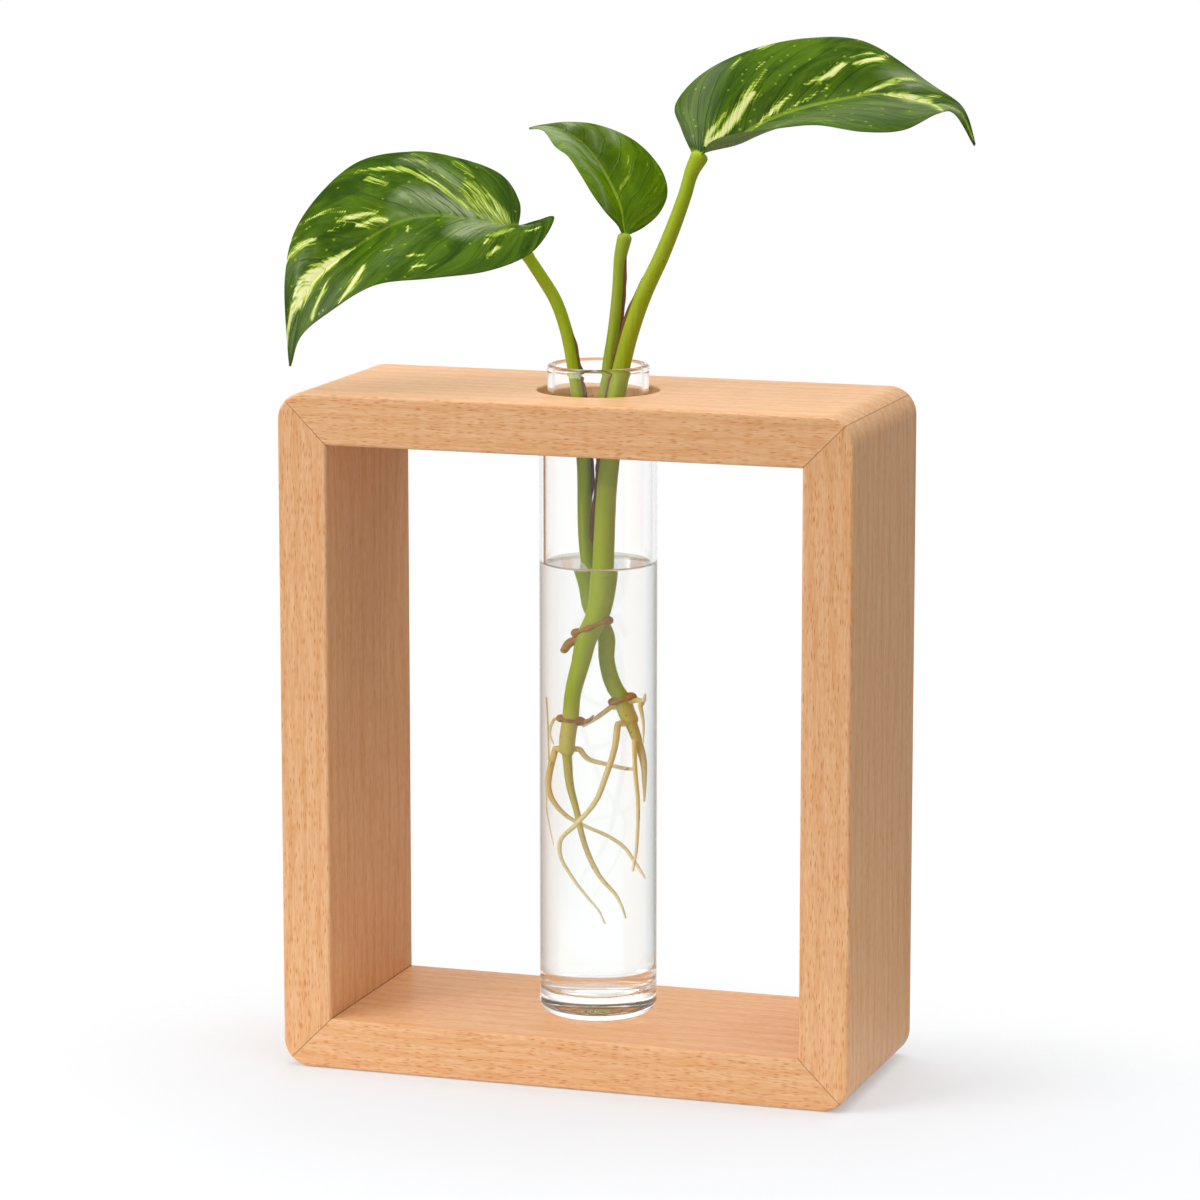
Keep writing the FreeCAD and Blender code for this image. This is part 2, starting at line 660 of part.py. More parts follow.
def tube_outline(sizes):
    """Return half the tube's section: foot, body, shoulder, neck and rim."""
    outer = sizes["tube_outer"]
    wall = sizes["glass_wall"]
    neck = sizes["neck_outer"]
    heel = sizes["heel_round"]
    bend = sizes["shoulder_round"]
    inner_bend = bend - wall
    neck_bend = bend + wall
    rim = sizes["rim_round"]
    height = tube_height(sizes)
    foot = sizes["foot_thick"]
    floor = sizes["floor_round"]
    bore = outer - wall
    neck_bore = neck - wall
    bend_start = sizes["frame_height"] - sizes["board_thick"] * 2 + sizes["shoulder_hide"]
    bend_across = outer - bend
    neck_across = neck + bend
    slope = outer - neck - bend * (2 * (1 - DIAGONAL))
    bend_end = bend_start + bend * (2 * DIAGONAL) + slope
    heel_in = (outer - heel, ZERO)
    heel_up = (outer, heel)
    body_top = (outer, bend_start)
    slope_low = (bend_across + bend * DIAGONAL, bend_start + bend * DIAGONAL)
    slope_high = (neck_across - bend * DIAGONAL, bend_end - bend * DIAGONAL)
    neck_low = (neck, bend_end)
    rim_out = (neck, height - rim)
    rim_top_out = (neck - rim, height)
    rim_top_in = (neck_bore + rim, height)
    rim_in = (neck_bore, height - rim)
    bore_neck_low = (neck_bore, bend_end)
    bore_high = (neck_across - neck_bend * DIAGONAL, bend_end - neck_bend * DIAGONAL)
    bore_low = (bend_across + inner_bend * DIAGONAL, bend_start + inner_bend * DIAGONAL)
    bore_top = (bore, bend_start)
    floor_up = (bore, foot + floor)
    floor_in = (bore - floor, foot)
    return [
        line((ZERO, ZERO), heel_in),
        arc(heel_in, heel_up, (outer - heel, heel), heel),
        line(heel_up, body_top),
        arc(body_top, slope_low, (bend_across, bend_start), bend),
        line(slope_low, slope_high),
        arc(slope_high, neck_low, (neck_across, bend_end), bend),
        line(neck_low, rim_out),
        arc(rim_out, rim_top_out, (neck - rim, height - rim), rim),
        line(rim_top_out, rim_top_in),
        arc(rim_top_in, rim_in, (neck_bore + rim, height - rim), rim),
        line(rim_in, bore_neck_low),
        arc(bore_neck_low, bore_high, (neck_across, bend_end), neck_bend),
        line(bore_high, bore_low),
        arc(bore_low, bore_top, (bend_across, bend_start), inner_bend),
        line(bore_top, floor_up),
        arc(floor_up, floor_in, (bore - floor, foot + floor), floor),
        line(floor_in, (ZERO, foot)),
        line((ZERO, foot), (ZERO, ZERO)),
    ]


def water_outline(sizes):
    """Return half the water's section.

    The water that the cutting is drawn through stays out of the solid, so that the
    cutting's straight way up is free: a disc lies under the roots and a sleeve round
    them.
    """
    gap = sizes["water_gap"]
    bore = sizes["tube_outer"] - sizes["glass_wall"]
    foot = sizes["foot_thick"]
    floor = sizes["floor_round"]
    room = sizes["root_room"] + gap * 0.5
    level = foot + sizes["water_depth"]
    still = foot + sizes["still_water"]
    low_centre = (ZERO, foot + gap)
    low_edge = (bore - floor, foot + gap)
    side_low = (bore - gap, foot + floor)
    side_top = (bore - gap, level)
    room_top = (room, level)
    room_low = (room, still)
    still_centre = (ZERO, still)
    return [
        line(low_centre, low_edge),
        arc(low_edge, side_low, (bore - floor, foot + floor), floor - gap),
        line(side_low, side_top),
        line(side_top, room_top),
        line(room_top, room_low),
        line(room_low, still_centre),
        line(still_centre, low_centre),
    ]


def glide(rows, spot):
    """Return the place and heading on a smooth line through rows of points."""
    last = len(rows) - 1
    span = min(int(spot), last - 1)
    part = spot - span
    before = rows[max(span - 1, 0)]
    start = rows[span]
    end = rows[span + 1]
    after = rows[min(span + 2, last)]
    start_pull = (end - before) * 0.5
    end_pull = (after - start) * 0.5
    square = part * part
    cube = square * part
    spot_place = (
        start * (2 * cube - 3 * square + 1)
        + start_pull * (cube - 2 * square + part)
        + end * (3 * square - 2 * cube)
        + end_pull * (cube - square)
    )
    heading = (
        start * (6 * square - 6 * part)
        + start_pull * (3 * square - 4 * part + 1)
        + end * (6 * part - 6 * square)
        + end_pull * (3 * square - 2 * part)
    )
    return spot_place, heading.normalize()


def ring_wire(centre, heading, radius, beside):
    """Return a circle square to the heading, made of four quarter arcs."""
    across = heading.cross(beside).normalize()
    upward = heading.cross(across).normalize()
    spokes = []
    for eighth in range(9):
        turn = math.radians(eighth * 45)
        spokes.append(centre + across * (radius * math.cos(turn)) + upward * (radius * math.sin(turn)))
    quarters = []
    for start in range(0, 8, 2):
        quarters.append(Part.Arc(spokes[start], spokes[start + 1], spokes[start + 2]).toShape())
    return Part.Wire(quarters)


def radius_at(radii, spot):
    """Return the radius at a spot between two rows."""
    low = min(int(spot), len(radii) - 2)
    part = spot - low
    return radii[low] * (1 - part) + radii[low + 1] * part


def spots_between(first, last, per_row=RINGS_PER_ROW):
    """Return the spots of a stalk's rings: its two ends and those between."""
    spots = [first]
    number = math.floor(first * per_row) + 1
    while number / per_row < last:
        spots.append(number / per_row)
        number += 1
    spots.append(last)
    return spots


class Cuttings:
    """The two rooted cuttings, in the frame of the tube that they stand in."""

    def __init__(self, doc, sizes):
        self.doc = doc
        self.sizes = sizes
        self.bore = sizes["neck_outer"].value - sizes["glass_wall"].value
        self.height = tube_height(sizes).value
        self.gap = sizes["fit_gap"].value
        self.foot = Placement(Vector(0, 0, sizes["board_thick"].value), Rotation())
        self.pieces = []

    def centre(self, row):
        """Return a row's place in millimetres."""
        return Vector(row[0] * self.bore, row[1] * self.bore, row[2] * self.height)

    def add(self, name, shape):
        """Keep a shape as a named piece on the tube's foot height."""
        piece = self.doc.addObject("Part::Feature", name)
        piece.Label = name
        piece.Shape = shape
        piece.Placement = self.foot
        self.pieces.append(piece)

    def stalk(self, name, rows, first=0, last=None):
        """Make a stem, a leaf stalk or a root between two spots on its rows."""
        centres = [self.centre(row) for row in rows]
        radii = [row[3] * self.bore for row in rows]
        rings = []
        for spot in spots_between(first, len(rows) - 1 if last is None else last):
            centre, heading = glide(centres, spot)
            rings.append(ring_wire(centre, heading, radius_at(radii, spot), BACKWARDS))
        self.add(name, Part.makeLoft(rings, True, False))

    def shoot(self, stem_name, stalk_name, rows, node):
        """Make a stem and, a hair above it, the leaf stalk that goes on from it."""
        step = self.centre(rows[node + 1]) - self.centre(rows[node])
        self.stalk(stem_name, rows, 0, node)
        self.stalk(stalk_name, rows, node + self.gap / step.Length)

    def sheath(self, name, rows, side, first, last):
        """Make the dried margin along one side of a leaf stalk, fading upwards."""
        centres = [self.centre(row) for row in rows]
        radii = [row[3] * self.bore for row in rows]
        thick = self.sizes["sheath_thick"].value / 2
        rings = []
        for spot in spots_between(first, last, SHEATH_RINGS_PER_ROW):
            fade = 1 - SHEATH_FADE_SHARE * (spot - first) / (last - first)
            centre, heading = glide(centres, spot)
            out = BACKWARDS.cross(heading).normalize() * side
            reach = radius_at(radii, spot) + self.gap + thick
            rings.append(ring_wire(centre + out * reach, heading, thick * fade, BACKWARDS))
        self.add(name, Part.makeLoft(rings, True, True))

    def scar(self, name, rows, spot):
        """Make the ring that a fallen leaf left round a stem."""
        thick = self.sizes["ring_thick"].value / 2
        centre, heading = glide([self.centre(row) for row in rows], spot)
        ring = self.doc.addObject("Part::Torus", name)
        ring.Label = name
        ring.setExpression("Radius2", (self.sizes["ring_thick"] * 0.5).text)
        ring.Radius1 = rows[spot][3] * self.bore + thick + self.gap
        ring.Placement = self.foot.multiply(Placement(centre, Rotation(UPWARDS, heading)))
        self.pieces.append(ring)

    def slanted_scar(self, name, rows, spot):
        """Make an open scar that climbs from one side of its stem to the other."""
        centres = [self.centre(row) for row in rows]
        radii = [row[3] * self.bore for row in rows]
        thick = self.sizes["ring_thick"].value / 2
        middle, heading = glide(centres, spot)
        climb = Vector(heading).normalize() * (self.bore * SCAR_CLIMB_SHARE)
        reach = radius_at(radii, spot) + thick + self.gap * SCAR_GAPS
        loop = []
        for step in range(-SCAR_STEPS_EACH_SIDE, SCAR_STEPS_EACH_SIDE + 1):
            turn = math.radians(step * SCAR_STEP - 90)
            across = Vector(reach * math.cos(turn), reach * math.sin(turn), 0)
            loop.append(middle + climb * math.cos(turn) + across)
        rings = []
        for place in spots_between(0, len(loop) - 1):
            centre, along = glide(loop, place)
            rings.append(ring_wire(centre, along, thick, UPWARDS))
        self.add(name, Part.makeLoft(rings, True, False))

    def leaf(self, name, rows, stalk_rows, length):
        """Make a leaf blade from its rows and seat it on the top of its stalk."""
        offset = LEAF_BASE_SHARES[name]
        base = self.centre(stalk_rows[-1])
        base = base + Vector(*offset) * length
        grid = []
        for near, rib, far, near_crown, far_crown in rows:
            near_edge = base + Vector(*near) * length
            middle = base + Vector(*rib) * length
            far_edge = base + Vector(*far) * length
            face = (near_edge - far_edge).normalize()
            lift = self.blade_up(rows, length, face)
            near_half = (near_edge + middle) * 0.5 + lift * (near_crown * length)
            far_half = (far_edge + middle) * 0.5 + lift * (far_crown * length)
            grid.append([near_edge, near_half, middle, far_half, far_edge])
        self.add(name, blade_solid(finer_grid(grid), self.sizes["leaf_thick"].value))

    def blade_up(self, rows, length, across):
        """Return the side of the blade that faces the light."""
        along = Vector(*rows[-1][1]) * length
        upward = along.cross(across)
        if upward.z < 0:
            upward = upward * -1
        return upward.normalize()


def grid_normals(grid):
    """Return the direction square to the surface at every point of a grid."""
    rows = len(grid)
    columns = len(grid[0])
    normals = []
    for row in range(rows):
        line_normals = []
        for column in range(columns):
            ahead = grid[min(row + 1, rows - 1)][column] - grid[max(row - 1, 0)][column]
            aside = grid[row][min(column + 1, columns - 1)] - grid[row][max(column - 1, 0)]
            line_normals.append(ahead.cross(aside).normalize())
        normals.append(line_normals)
    return normals


def finer_grid(grid):
    """Return a grid with more rows, on smooth lines through each of its columns."""
    columns = list(zip(*grid))
    spots = spots_between(0, len(grid) - 1, BLADE_LINES_PER_ROW)
    return [[glide(column, spot)[0] for column in columns] for spot in spots]


def surface_through(grid):
    """Return the smooth surface through a grid of points."""
    surface = Part.BSplineSurface()
    surface.interpolate(grid)
    return surface


def blade_solid(grid, thick):
    """Return a closed thin blade whose middle surface passes through the grid."""
    normals = grid_normals(grid)
    sides = []
    for half in (thick / 2, -thick / 2):
        shifted = []
        for row, row_normals in zip(grid, normals):
            shifted.append([point + normal * half for point, normal in zip(row, row_normals)])
        sides.append(surface_through(shifted))
    faces = [side.toShape() for side in sides]
    first_u, last_u, first_v, last_v = sides[0].bounds()
    for read in ("uIso", "vIso"):
        bounds = (first_u, last_u) if read == "uIso" else (first_v, last_v)
        for value in bounds:
            borders = [getattr(side, read)(value).toShape() for side in sides]
            faces.append(Part.makeRuledSurface(borders[0], borders[1]))
    shell = Part.makeShell(faces)
    shell.sewShape()
    solid = Part.makeSolid(shell)
    if solid.Volume < 0:
        solid.reverse()
    return solid


def make_cuttings(doc, sizes):
    """Make every piece of the two cuttings."""
    cuttings = Cuttings(doc, sizes)
    cuttings.shoot("front_stem", "right_petiole", FRONT_SHOOT_SHARES, FRONT_SHOOT_NODE)
    cuttings.shoot("rear_stem", "left_petiole", REAR_SHOOT_SHARES, REAR_SHOOT_NODE)
    cuttings.stalk("middle_petiole", MIDDLE_PETIOLE_SHARES)
    for sheath in SHEATHS:
        cuttings.sheath(*sheath)
    cuttings.scar("front_node_ring", FRONT_SHOOT_SHARES, ROOT_NODE)
    cuttings.scar("rear_node_ring", REAR_SHOOT_SHARES, ROOT_NODE)
    cuttings.slanted_scar("upper_node_ring", FRONT_SHOOT_SHARES, UPPER_NODE)
    cuttings.stalk("node_bract", BRACT_SHARES)
    cuttings.stalk("aerial_root", AERIAL_ROOT_SHARES)
    for number, rows in enumerate(REAR_ROOT_SHARES, 1):
        cuttings.stalk("rear_root_%d" % number, rows)
    for number, rows in enumerate(FRONT_ROOT_SHARES, 1):
        cuttings.stalk("front_root_%d" % number, rows)
    leaves = (
        ("left_leaf", LEFT_LEAF_SHARES, REAR_SHOOT_SHARES, "left_leaf_length"),
        ("middle_leaf", MIDDLE_LEAF_SHARES, MIDDLE_PETIOLE_SHARES, "middle_leaf_length"),
        ("right_leaf", RIGHT_LEAF_SHARES, FRONT_SHOOT_SHARES, "right_leaf_length"),
    )
    for name, rows, stalk_rows, length_name in leaves:
        cuttings.leaf(name, rows, stalk_rows, sizes[length_name].value)
    return cuttings.pieces


def check_and_write(doc, pieces):
    """Stop on any failed object or bad shape, then write one file for each piece."""
    for item in doc.Objects:
        if "Invalid" in item.State or "Error" in item.State:
            raise RuntimeError("%s failed: %s" % (item.Name, item.State))
    for piece in pieces:
        shape = piece.Shape
        if shape.isNull() or not shape.isValid() or len(shape.Solids) != 1:
            raise RuntimeError("%s has no single valid solid" % piece.Label)
    os.makedirs("parts", exist_ok=True)
    for piece in pieces:
        piece.Shape.exportStep("parts/%s.step" % piece.Label)
        print("%-22s %10.2f mm3" % (piece.Label, piece.Shape.Volume))


def main():
    """Build the whole vase and write its pieces."""
    doc = FreeCAD.newDocument("PropagationVase")
    sizes = fill_sheet(doc)
    stand_height = (ZERO, ZERO, sizes["board_thick"])
    pieces = make_frame(doc, sizes)
    pieces += make_biscuits(doc, sizes)
    pieces.append(spin(doc, "glass_tube", tube_outline(sizes), stand_height))
    pieces.append(spin(doc, "water", water_outline(sizes), stand_height))
    pieces += make_cuttings(doc, sizes)
    doc.recompute()
    check_and_write(doc, pieces)


main()
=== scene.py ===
"""Dress the propagation vase: oiled beech boards, a clear tube of water and two rooted cuttings."""

import json
import logging
import math
from dataclasses import dataclass
from enum import Enum
from typing import Iterable, Sequence

import bpy
import numpy as np
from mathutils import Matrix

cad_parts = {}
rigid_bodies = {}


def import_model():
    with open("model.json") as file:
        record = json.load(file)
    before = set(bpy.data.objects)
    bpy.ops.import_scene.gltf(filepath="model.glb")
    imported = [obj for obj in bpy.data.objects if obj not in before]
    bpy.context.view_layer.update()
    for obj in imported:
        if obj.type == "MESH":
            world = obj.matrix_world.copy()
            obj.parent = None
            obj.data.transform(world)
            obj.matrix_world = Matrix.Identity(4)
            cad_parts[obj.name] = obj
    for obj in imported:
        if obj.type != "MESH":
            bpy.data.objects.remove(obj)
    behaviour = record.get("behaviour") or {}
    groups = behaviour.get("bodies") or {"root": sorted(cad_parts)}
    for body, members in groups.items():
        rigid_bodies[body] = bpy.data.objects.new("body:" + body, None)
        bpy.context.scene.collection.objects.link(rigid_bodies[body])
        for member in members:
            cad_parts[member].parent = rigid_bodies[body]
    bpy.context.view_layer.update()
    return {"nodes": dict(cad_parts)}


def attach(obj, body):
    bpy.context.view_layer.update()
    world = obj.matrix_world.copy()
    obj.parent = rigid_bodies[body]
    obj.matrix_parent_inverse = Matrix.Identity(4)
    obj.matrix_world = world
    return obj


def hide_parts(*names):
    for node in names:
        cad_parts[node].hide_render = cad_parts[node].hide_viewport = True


for leftover in list(bpy.data.objects):
    bpy.data.objects.remove(leftover)
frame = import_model()

LOG = logging.getLogger("propagation_vase")
MM = 0.001

Colour = tuple[float, float, float]
Row = tuple[float, float, float, float]
Point = tuple[float, float, float]
BladeRow = tuple[Point, Point, Point, float, float]
Streak = tuple[float | Point, ...]
Section = list[tuple[float, float]]
Socket = bpy.types.NodeSocket
Value = float | Socket

FRAME_WIDTH = 150.0
FRAME_HEIGHT = 174.0
BOARD_THICK = 13.0
TUBE_OUTER = 15.0
NECK_OUTER = 12.8
GLASS_WALL = 1.6
TUBE_HEIGHT = 167.5
NECK_BORE = NECK_OUTER - GLASS_WALL
LEAF_LENGTH = 80.0
YOUNG_LEAF_LENGTH = 45.0

# The angles at which small rings round off the ends of stems, roots and the bract.
CAP_ANGLES = (35.0, 60.0, 80.0)

# The wood's ray flecks, first short and wide ones, then longer and thinner ones: how their
# cells are stretched, the distances from a cell's centre between which a fleck fades, and
# the random value from which a cell shows one.
FLECK_SHARES = (((0.36, 1.1, 2.0), 0.07, 0.46, 0.05), ((0.27, 1.3, 2.4), 0.05, 0.44, 0.30))

# How far side veins run forward on their way out: by VEIN_SWEEP less the along share, and
# by the across share to the power of VEIN_BEND.
VEIN_SWEEP = 1.25
VEIN_BEND = 1.2

# The cuttings' centre lines, nearly as in the part's source: x, y and radius are shares of
# the neck's bore radius, and z is a share of the tube's height above its foot. The rear
# shoot leans less just under the water, because the water shows it further out.
FRONT_SHOOT_SHARES: tuple[Row, ...] = (
    (-0.51, -0.18, 0.411, 0.137), (-0.50, -0.18, 0.429, 0.142), (-0.45, -0.18, 0.459, 0.146),
    (-0.40, -0.18, 0.501, 0.142), (-0.26, -0.18, 0.549, 0.164), (-0.15, -0.18, 0.587, 0.190),
    (0.04, -0.18, 0.621, 0.212), (0.16, -0.18, 0.678, 0.243), (0.19, -0.17, 0.732, 0.239),
    (0.26, -0.16, 0.818, 0.226), (0.33, -0.15, 0.862, 0.221), (0.50, -0.13, 0.970, 0.199),
    (0.59, -0.12, 0.998, 0.195), (0.81, -0.11, 1.053, 0.186), (1.05, -0.09, 1.100, 0.186),
    (1.53, -0.06, 1.170, 0.173), (2.03, -0.03, 1.257, 0.155), (2.21, -0.01, 1.296, 0.150),
    (2.35, 0.00, 1.314, 0.142),
)
REAR_SHOOT_SHARES: tuple[Row, ...] = (
    (0.43, 0.34, 0.456, 0.142), (0.35, 0.34, 0.472, 0.142), (0.30, 0.33, 0.488, 0.142),
    (0.18, 0.33, 0.504, 0.137), (0.03, 0.32, 0.551, 0.124), (0.02, 0.32, 0.585, 0.142),
    (-0.08, 0.32, 0.606, 0.150), (-0.19, 0.32, 0.627, 0.155), (-0.25, 0.31, 0.663, 0.168),
    (-0.34, 0.29, 0.696, 0.172), (-0.42, 0.21, 0.858, 0.173), (-0.57, 0.16, 0.965, 0.150),
    (-0.64, 0.15, 0.993, 0.146), (-0.82, 0.16, 1.048, 0.142), (-1.06, 0.18, 1.090, 0.142),
    (-1.48, 0.21, 1.132, 0.137), (-1.80, 0.24, 1.161, 0.133), (-2.12, 0.27, 1.192, 0.119),
)
MIDDLE_PETIOLE_SHARES: tuple[Row, ...] = (
    (0.10, 0.21, 0.800, 0.133), (0.00, 0.25, 0.857, 0.133), (0.08, 0.32, 0.964, 0.142),
    (0.13, 0.34, 0.993, 0.146), (0.26, 0.35, 1.048, 0.146), (0.35, 0.35, 1.106, 0.137),
    (0.41, 0.35, 1.161, 0.128), (0.50, 0.35, 1.187, 0.115),
)
FRONT_SHOOT_NODE = 9
REAR_SHOOT_NODE = 7
ROOT_NODE = 2
UPPER_NODE = 5.5

ROOT_SHARES: dict[str, tuple[Row, ...]] = {
    "rear_root_1": ((0.10, 0.32, 0.476, 0.053), (-0.10, 0.27, 0.461, 0.049), (-0.31, 0.21, 0.448, 0.040)),
    "rear_root_2": ((0.56, 0.32, 0.488, 0.058), (0.71, 0.28, 0.486, 0.053), (0.82, 0.18, 0.497, 0.031)),
    "rear_root_3": ((0.70, 0.21, 0.479, 0.044), (0.81, 0.14, 0.454, 0.031), (0.85, 0.07, 0.424, 0.018)),
    "rear_root_4": (
        (0.45, 0.33, 0.452, 0.102), (0.61, 0.27, 0.425, 0.088), (0.79, 0.19, 0.395, 0.071),
        (0.85, 0.13, 0.359, 0.044), (0.87, 0.08, 0.334, 0.022),
    ),
    "rear_root_5": (
        (0.30, 0.14, 0.453, 0.058), (0.28, 0.03, 0.414, 0.058), (0.21, -0.16, 0.379, 0.058),
        (0.05, -0.34, 0.336, 0.053), (-0.26, -0.41, 0.303, 0.049), (-0.59, -0.41, 0.272, 0.044),
        (-0.60, -0.37, 0.250, 0.040), (-0.41, -0.32, 0.220, 0.035), (-0.11, -0.25, 0.185, 0.027),
        (0.09, -0.21, 0.164, 0.022), (0.19, -0.19, 0.146, 0.018),
    ),
    "rear_root_6": (
        (0.63, 0.11, 0.426, 0.044), (0.70, 0.02, 0.380, 0.044), (0.81, -0.07, 0.334, 0.044),
        (0.83, -0.11, 0.299, 0.040), (0.80, -0.13, 0.256, 0.035), (0.74, -0.14, 0.228, 0.027),
    ),
    "front_root_1": (
        (-0.30, -0.10, 0.414, 0.053), (-0.18, -0.02, 0.399, 0.053), (0.12, 0.08, 0.390, 0.049),
        (0.47, 0.14, 0.383, 0.044), (0.64, 0.16, 0.382, 0.031),
    ),
    "front_root_2": (
        (-0.51, -0.18, 0.408, 0.088), (-0.46, -0.12, 0.354, 0.071), (-0.35, -0.09, 0.315, 0.058),
        (-0.28, -0.07, 0.284, 0.053), (-0.11, -0.05, 0.241, 0.049), (0.08, -0.04, 0.213, 0.044),
        (0.33, -0.04, 0.189, 0.035), (0.45, -0.05, 0.172, 0.027), (0.55, -0.07, 0.154, 0.018),
    ),
    "front_root_3": (
        (-0.72, -0.08, 0.412, 0.058), (-0.82, 0.02, 0.375, 0.053), (-0.85, 0.09, 0.353, 0.049),
        (-0.79, 0.19, 0.329, 0.044), (-0.55, 0.27, 0.302, 0.044), (-0.31, 0.28, 0.291, 0.040),
        (0.09, 0.30, 0.275, 0.040), (0.34, 0.28, 0.260, 0.035), (0.56, 0.23, 0.239, 0.031),
        (0.75, 0.18, 0.221, 0.027), (0.85, 0.14, 0.213, 0.018),
    ),
    "front_root_4": (
        (-0.81, -0.11, 0.390, 0.022), (-0.87, -0.16, 0.364, 0.022), (-0.88, -0.18, 0.342, 0.018),
        (-0.88, -0.20, 0.321, 0.013),
    ),
    "front_root_5": (
        (-0.73, -0.17, 0.459, 0.027), (-0.80, -0.16, 0.445, 0.027), (-0.81, -0.14, 0.432, 0.022),
        (-0.75, -0.20, 0.420, 0.018),
    ),
    "front_root_6": (
        (-0.88, -0.09, 0.490, 0.016), (-0.85, -0.03, 0.442, 0.016), (-0.84, 0.05, 0.392, 0.016),
    ),
    "front_root_7": (
        (-0.88, -0.22, 0.317, 0.013), (-0.82, -0.27, 0.293, 0.013), (-0.74, -0.32, 0.264, 0.011),
    ),
    "aerial_root": (
        (-0.34, -0.20, 0.583, 0.092), (-0.45, -0.20, 0.578, 0.088), (-0.55, -0.21, 0.566, 0.072),
    ),
}
BRACT_SHARES: tuple[Row, ...] = (
    (-0.17, -0.19, 0.458, 0.044), (-0.10, -0.19, 0.461, 0.040), (-0.03, -0.19, 0.468, 0.013),
)

# The leaf blades, as in the part's source: near margin, midrib and far margin in shares
# of the leaf's length, and how far the near and the far half crown between them.
LEFT_LEAF_SHARES: tuple[BladeRow, ...] = (
    ((0.06, 0.00, 0.01), (0.00, 0.00, 0.00), (0.02, 0.02, 0.00), 0.00, 0.00),
    ((0.16, -0.04, 0.04), (-0.04, -0.02, 0.01), (0.00, 0.09, 0.07), -0.02, 0.01),
    ((0.12, -0.13, -0.06), (-0.12, -0.05, 0.02), (-0.08, 0.14, 0.15), 0.02, 0.02),
    ((0.02, -0.26, -0.11), (-0.22, -0.09, 0.03), (-0.22, 0.13, 0.20), 0.03, 0.02),
    ((-0.14, -0.35, -0.13), (-0.32, -0.14, 0.01), (-0.36, 0.08, 0.22), 0.03, 0.02),
    ((-0.30, -0.42, -0.15), (-0.43, -0.21, -0.06), (-0.53, 0.00, 0.18), 0.02, 0.02),
    ((-0.45, -0.43, -0.24), (-0.53, -0.27, -0.14), (-0.65, -0.14, 0.02), 0.02, 0.02),
    ((-0.55, -0.41, -0.32), (-0.58, -0.32, -0.23), (-0.665, -0.25, -0.16), 0.01, 0.01),
    ((-0.596, -0.383, -0.42), (-0.60, -0.38, -0.42), (-0.604, -0.377, -0.42), 0.00, 0.00),
)
MIDDLE_LEAF_SHARES: tuple[BladeRow, ...] = (
    ((-0.02, -0.02, 0.02), (0.00, 0.00, 0.00), (0.02, 0.03, 0.01), 0.00, 0.00),
    ((-0.02, -0.09, 0.07), (-0.03, 0.03, 0.06), (0.07, 0.10, 0.04), 0.00, 0.01),
    ((-0.06, -0.18, 0.15), (-0.06, 0.05, 0.15), (0.14, 0.19, 0.12), 0.01, 0.02),
    ((-0.11, -0.25, 0.25), (-0.12, 0.08, 0.25), (0.16, 0.26, 0.23), 0.02, 0.03),
    ((-0.19, -0.23, 0.36), (-0.20, 0.10, 0.37), (0.10, 0.29, 0.37), 0.02, 0.03),
    ((-0.28, -0.17, 0.45), (-0.28, 0.09, 0.48), (-0.03, 0.25, 0.51), 0.02, 0.02),
    ((-0.37, -0.13, 0.50), (-0.37, 0.05, 0.56), (-0.22, 0.16, 0.60), 0.01, 0.01),
    ((-0.46, -0.07, 0.58), (-0.46, 0.01, 0.60), (-0.39, 0.06, 0.62), 0.00, 0.00),
    ((-0.55, -0.056, 0.586), (-0.55, -0.05, 0.59), (-0.55, -0.044, 0.594), 0.00, 0.00),
)
RIGHT_LEAF_SHARES: tuple[BladeRow, ...] = (
    ((0.01, -0.02, 0.00), (0.00, 0.00, 0.00), (-0.03, 0.00, 0.00), 0.00, 0.00),
    ((0.07, -0.09, 0.05), (0.03, 0.01, 0.02), (-0.08, 0.05, 0.07), -0.02, 0.01),
    ((0.18, -0.13, 0.08), (0.10, 0.04, 0.04), (-0.12, 0.12, 0.14), -0.02, 0.02),
    ((0.31, -0.15, 0.10), (0.18, 0.08, 0.09), (-0.06, 0.21, 0.23), -0.01, 0.03),
    ((0.42, -0.15, 0.11), (0.28, 0.10, 0.13), (0.07, 0.28, 0.30), 0.00, 0.03),
    ((0.55, -0.11, 0.09), (0.40, 0.14, 0.16), (0.25, 0.32, 0.34), 0.01, 0.03),
    ((0.65, -0.01, 0.09), (0.53, 0.17, 0.18), (0.44, 0.33, 0.33), 0.01, 0.02),
    ((0.72, 0.13, 0.13), (0.66, 0.19, 0.16), (0.66, 0.28, 0.21), 0.01, 0.01),
    ((0.76, 0.19, 0.125), (0.765, 0.215, 0.132), (0.773, 0.24, 0.14), 0.00, 0.00),
    ((0.819, 0.205, 0.027), (0.82, 0.21, 0.03), (0.821, 0.215, 0.033), 0.00, 0.00),
)


class Grain(Enum):
    """The way that a board's fibres run."""

    ACROSS_THE_FRAME = "x"
    UP_THE_FRAME = "z"


class Side(Enum):
    """The side of a stalk that a sheath margin lies on."""

    LEFT = -1
    RIGHT = 1


def glide(rows: np.ndarray, spots: np.ndarray) -> np.ndarray:
    """Follow a smooth line through rows.

    Args:
        rows: values at whole spots, first axis counting the rows.
        spots: where to read the line, in rows.

    Returns:
        The values at the spots.
    """
    last = len(rows) - 1
    span = np.minimum(spots.astype(int), last - 1)
    part = (spots - span).reshape((-1,) + (1,) * (rows.ndim - 1))
    before, start = rows[np.maximum(span - 1, 0)], rows[span]
    end, after = rows[span + 1], rows[np.minimum(span + 2, last)]
    start_pull, end_pull = (end - before) / 2, (after - start) / 2
    square, cube = part**2, part**3
    return (
        start * (2 * cube - 3 * square + 1)
        + start_pull * (cube - 2 * square + part)
        + end * (3 * square - 2 * cube)
        + end_pull * (cube - square)
    )


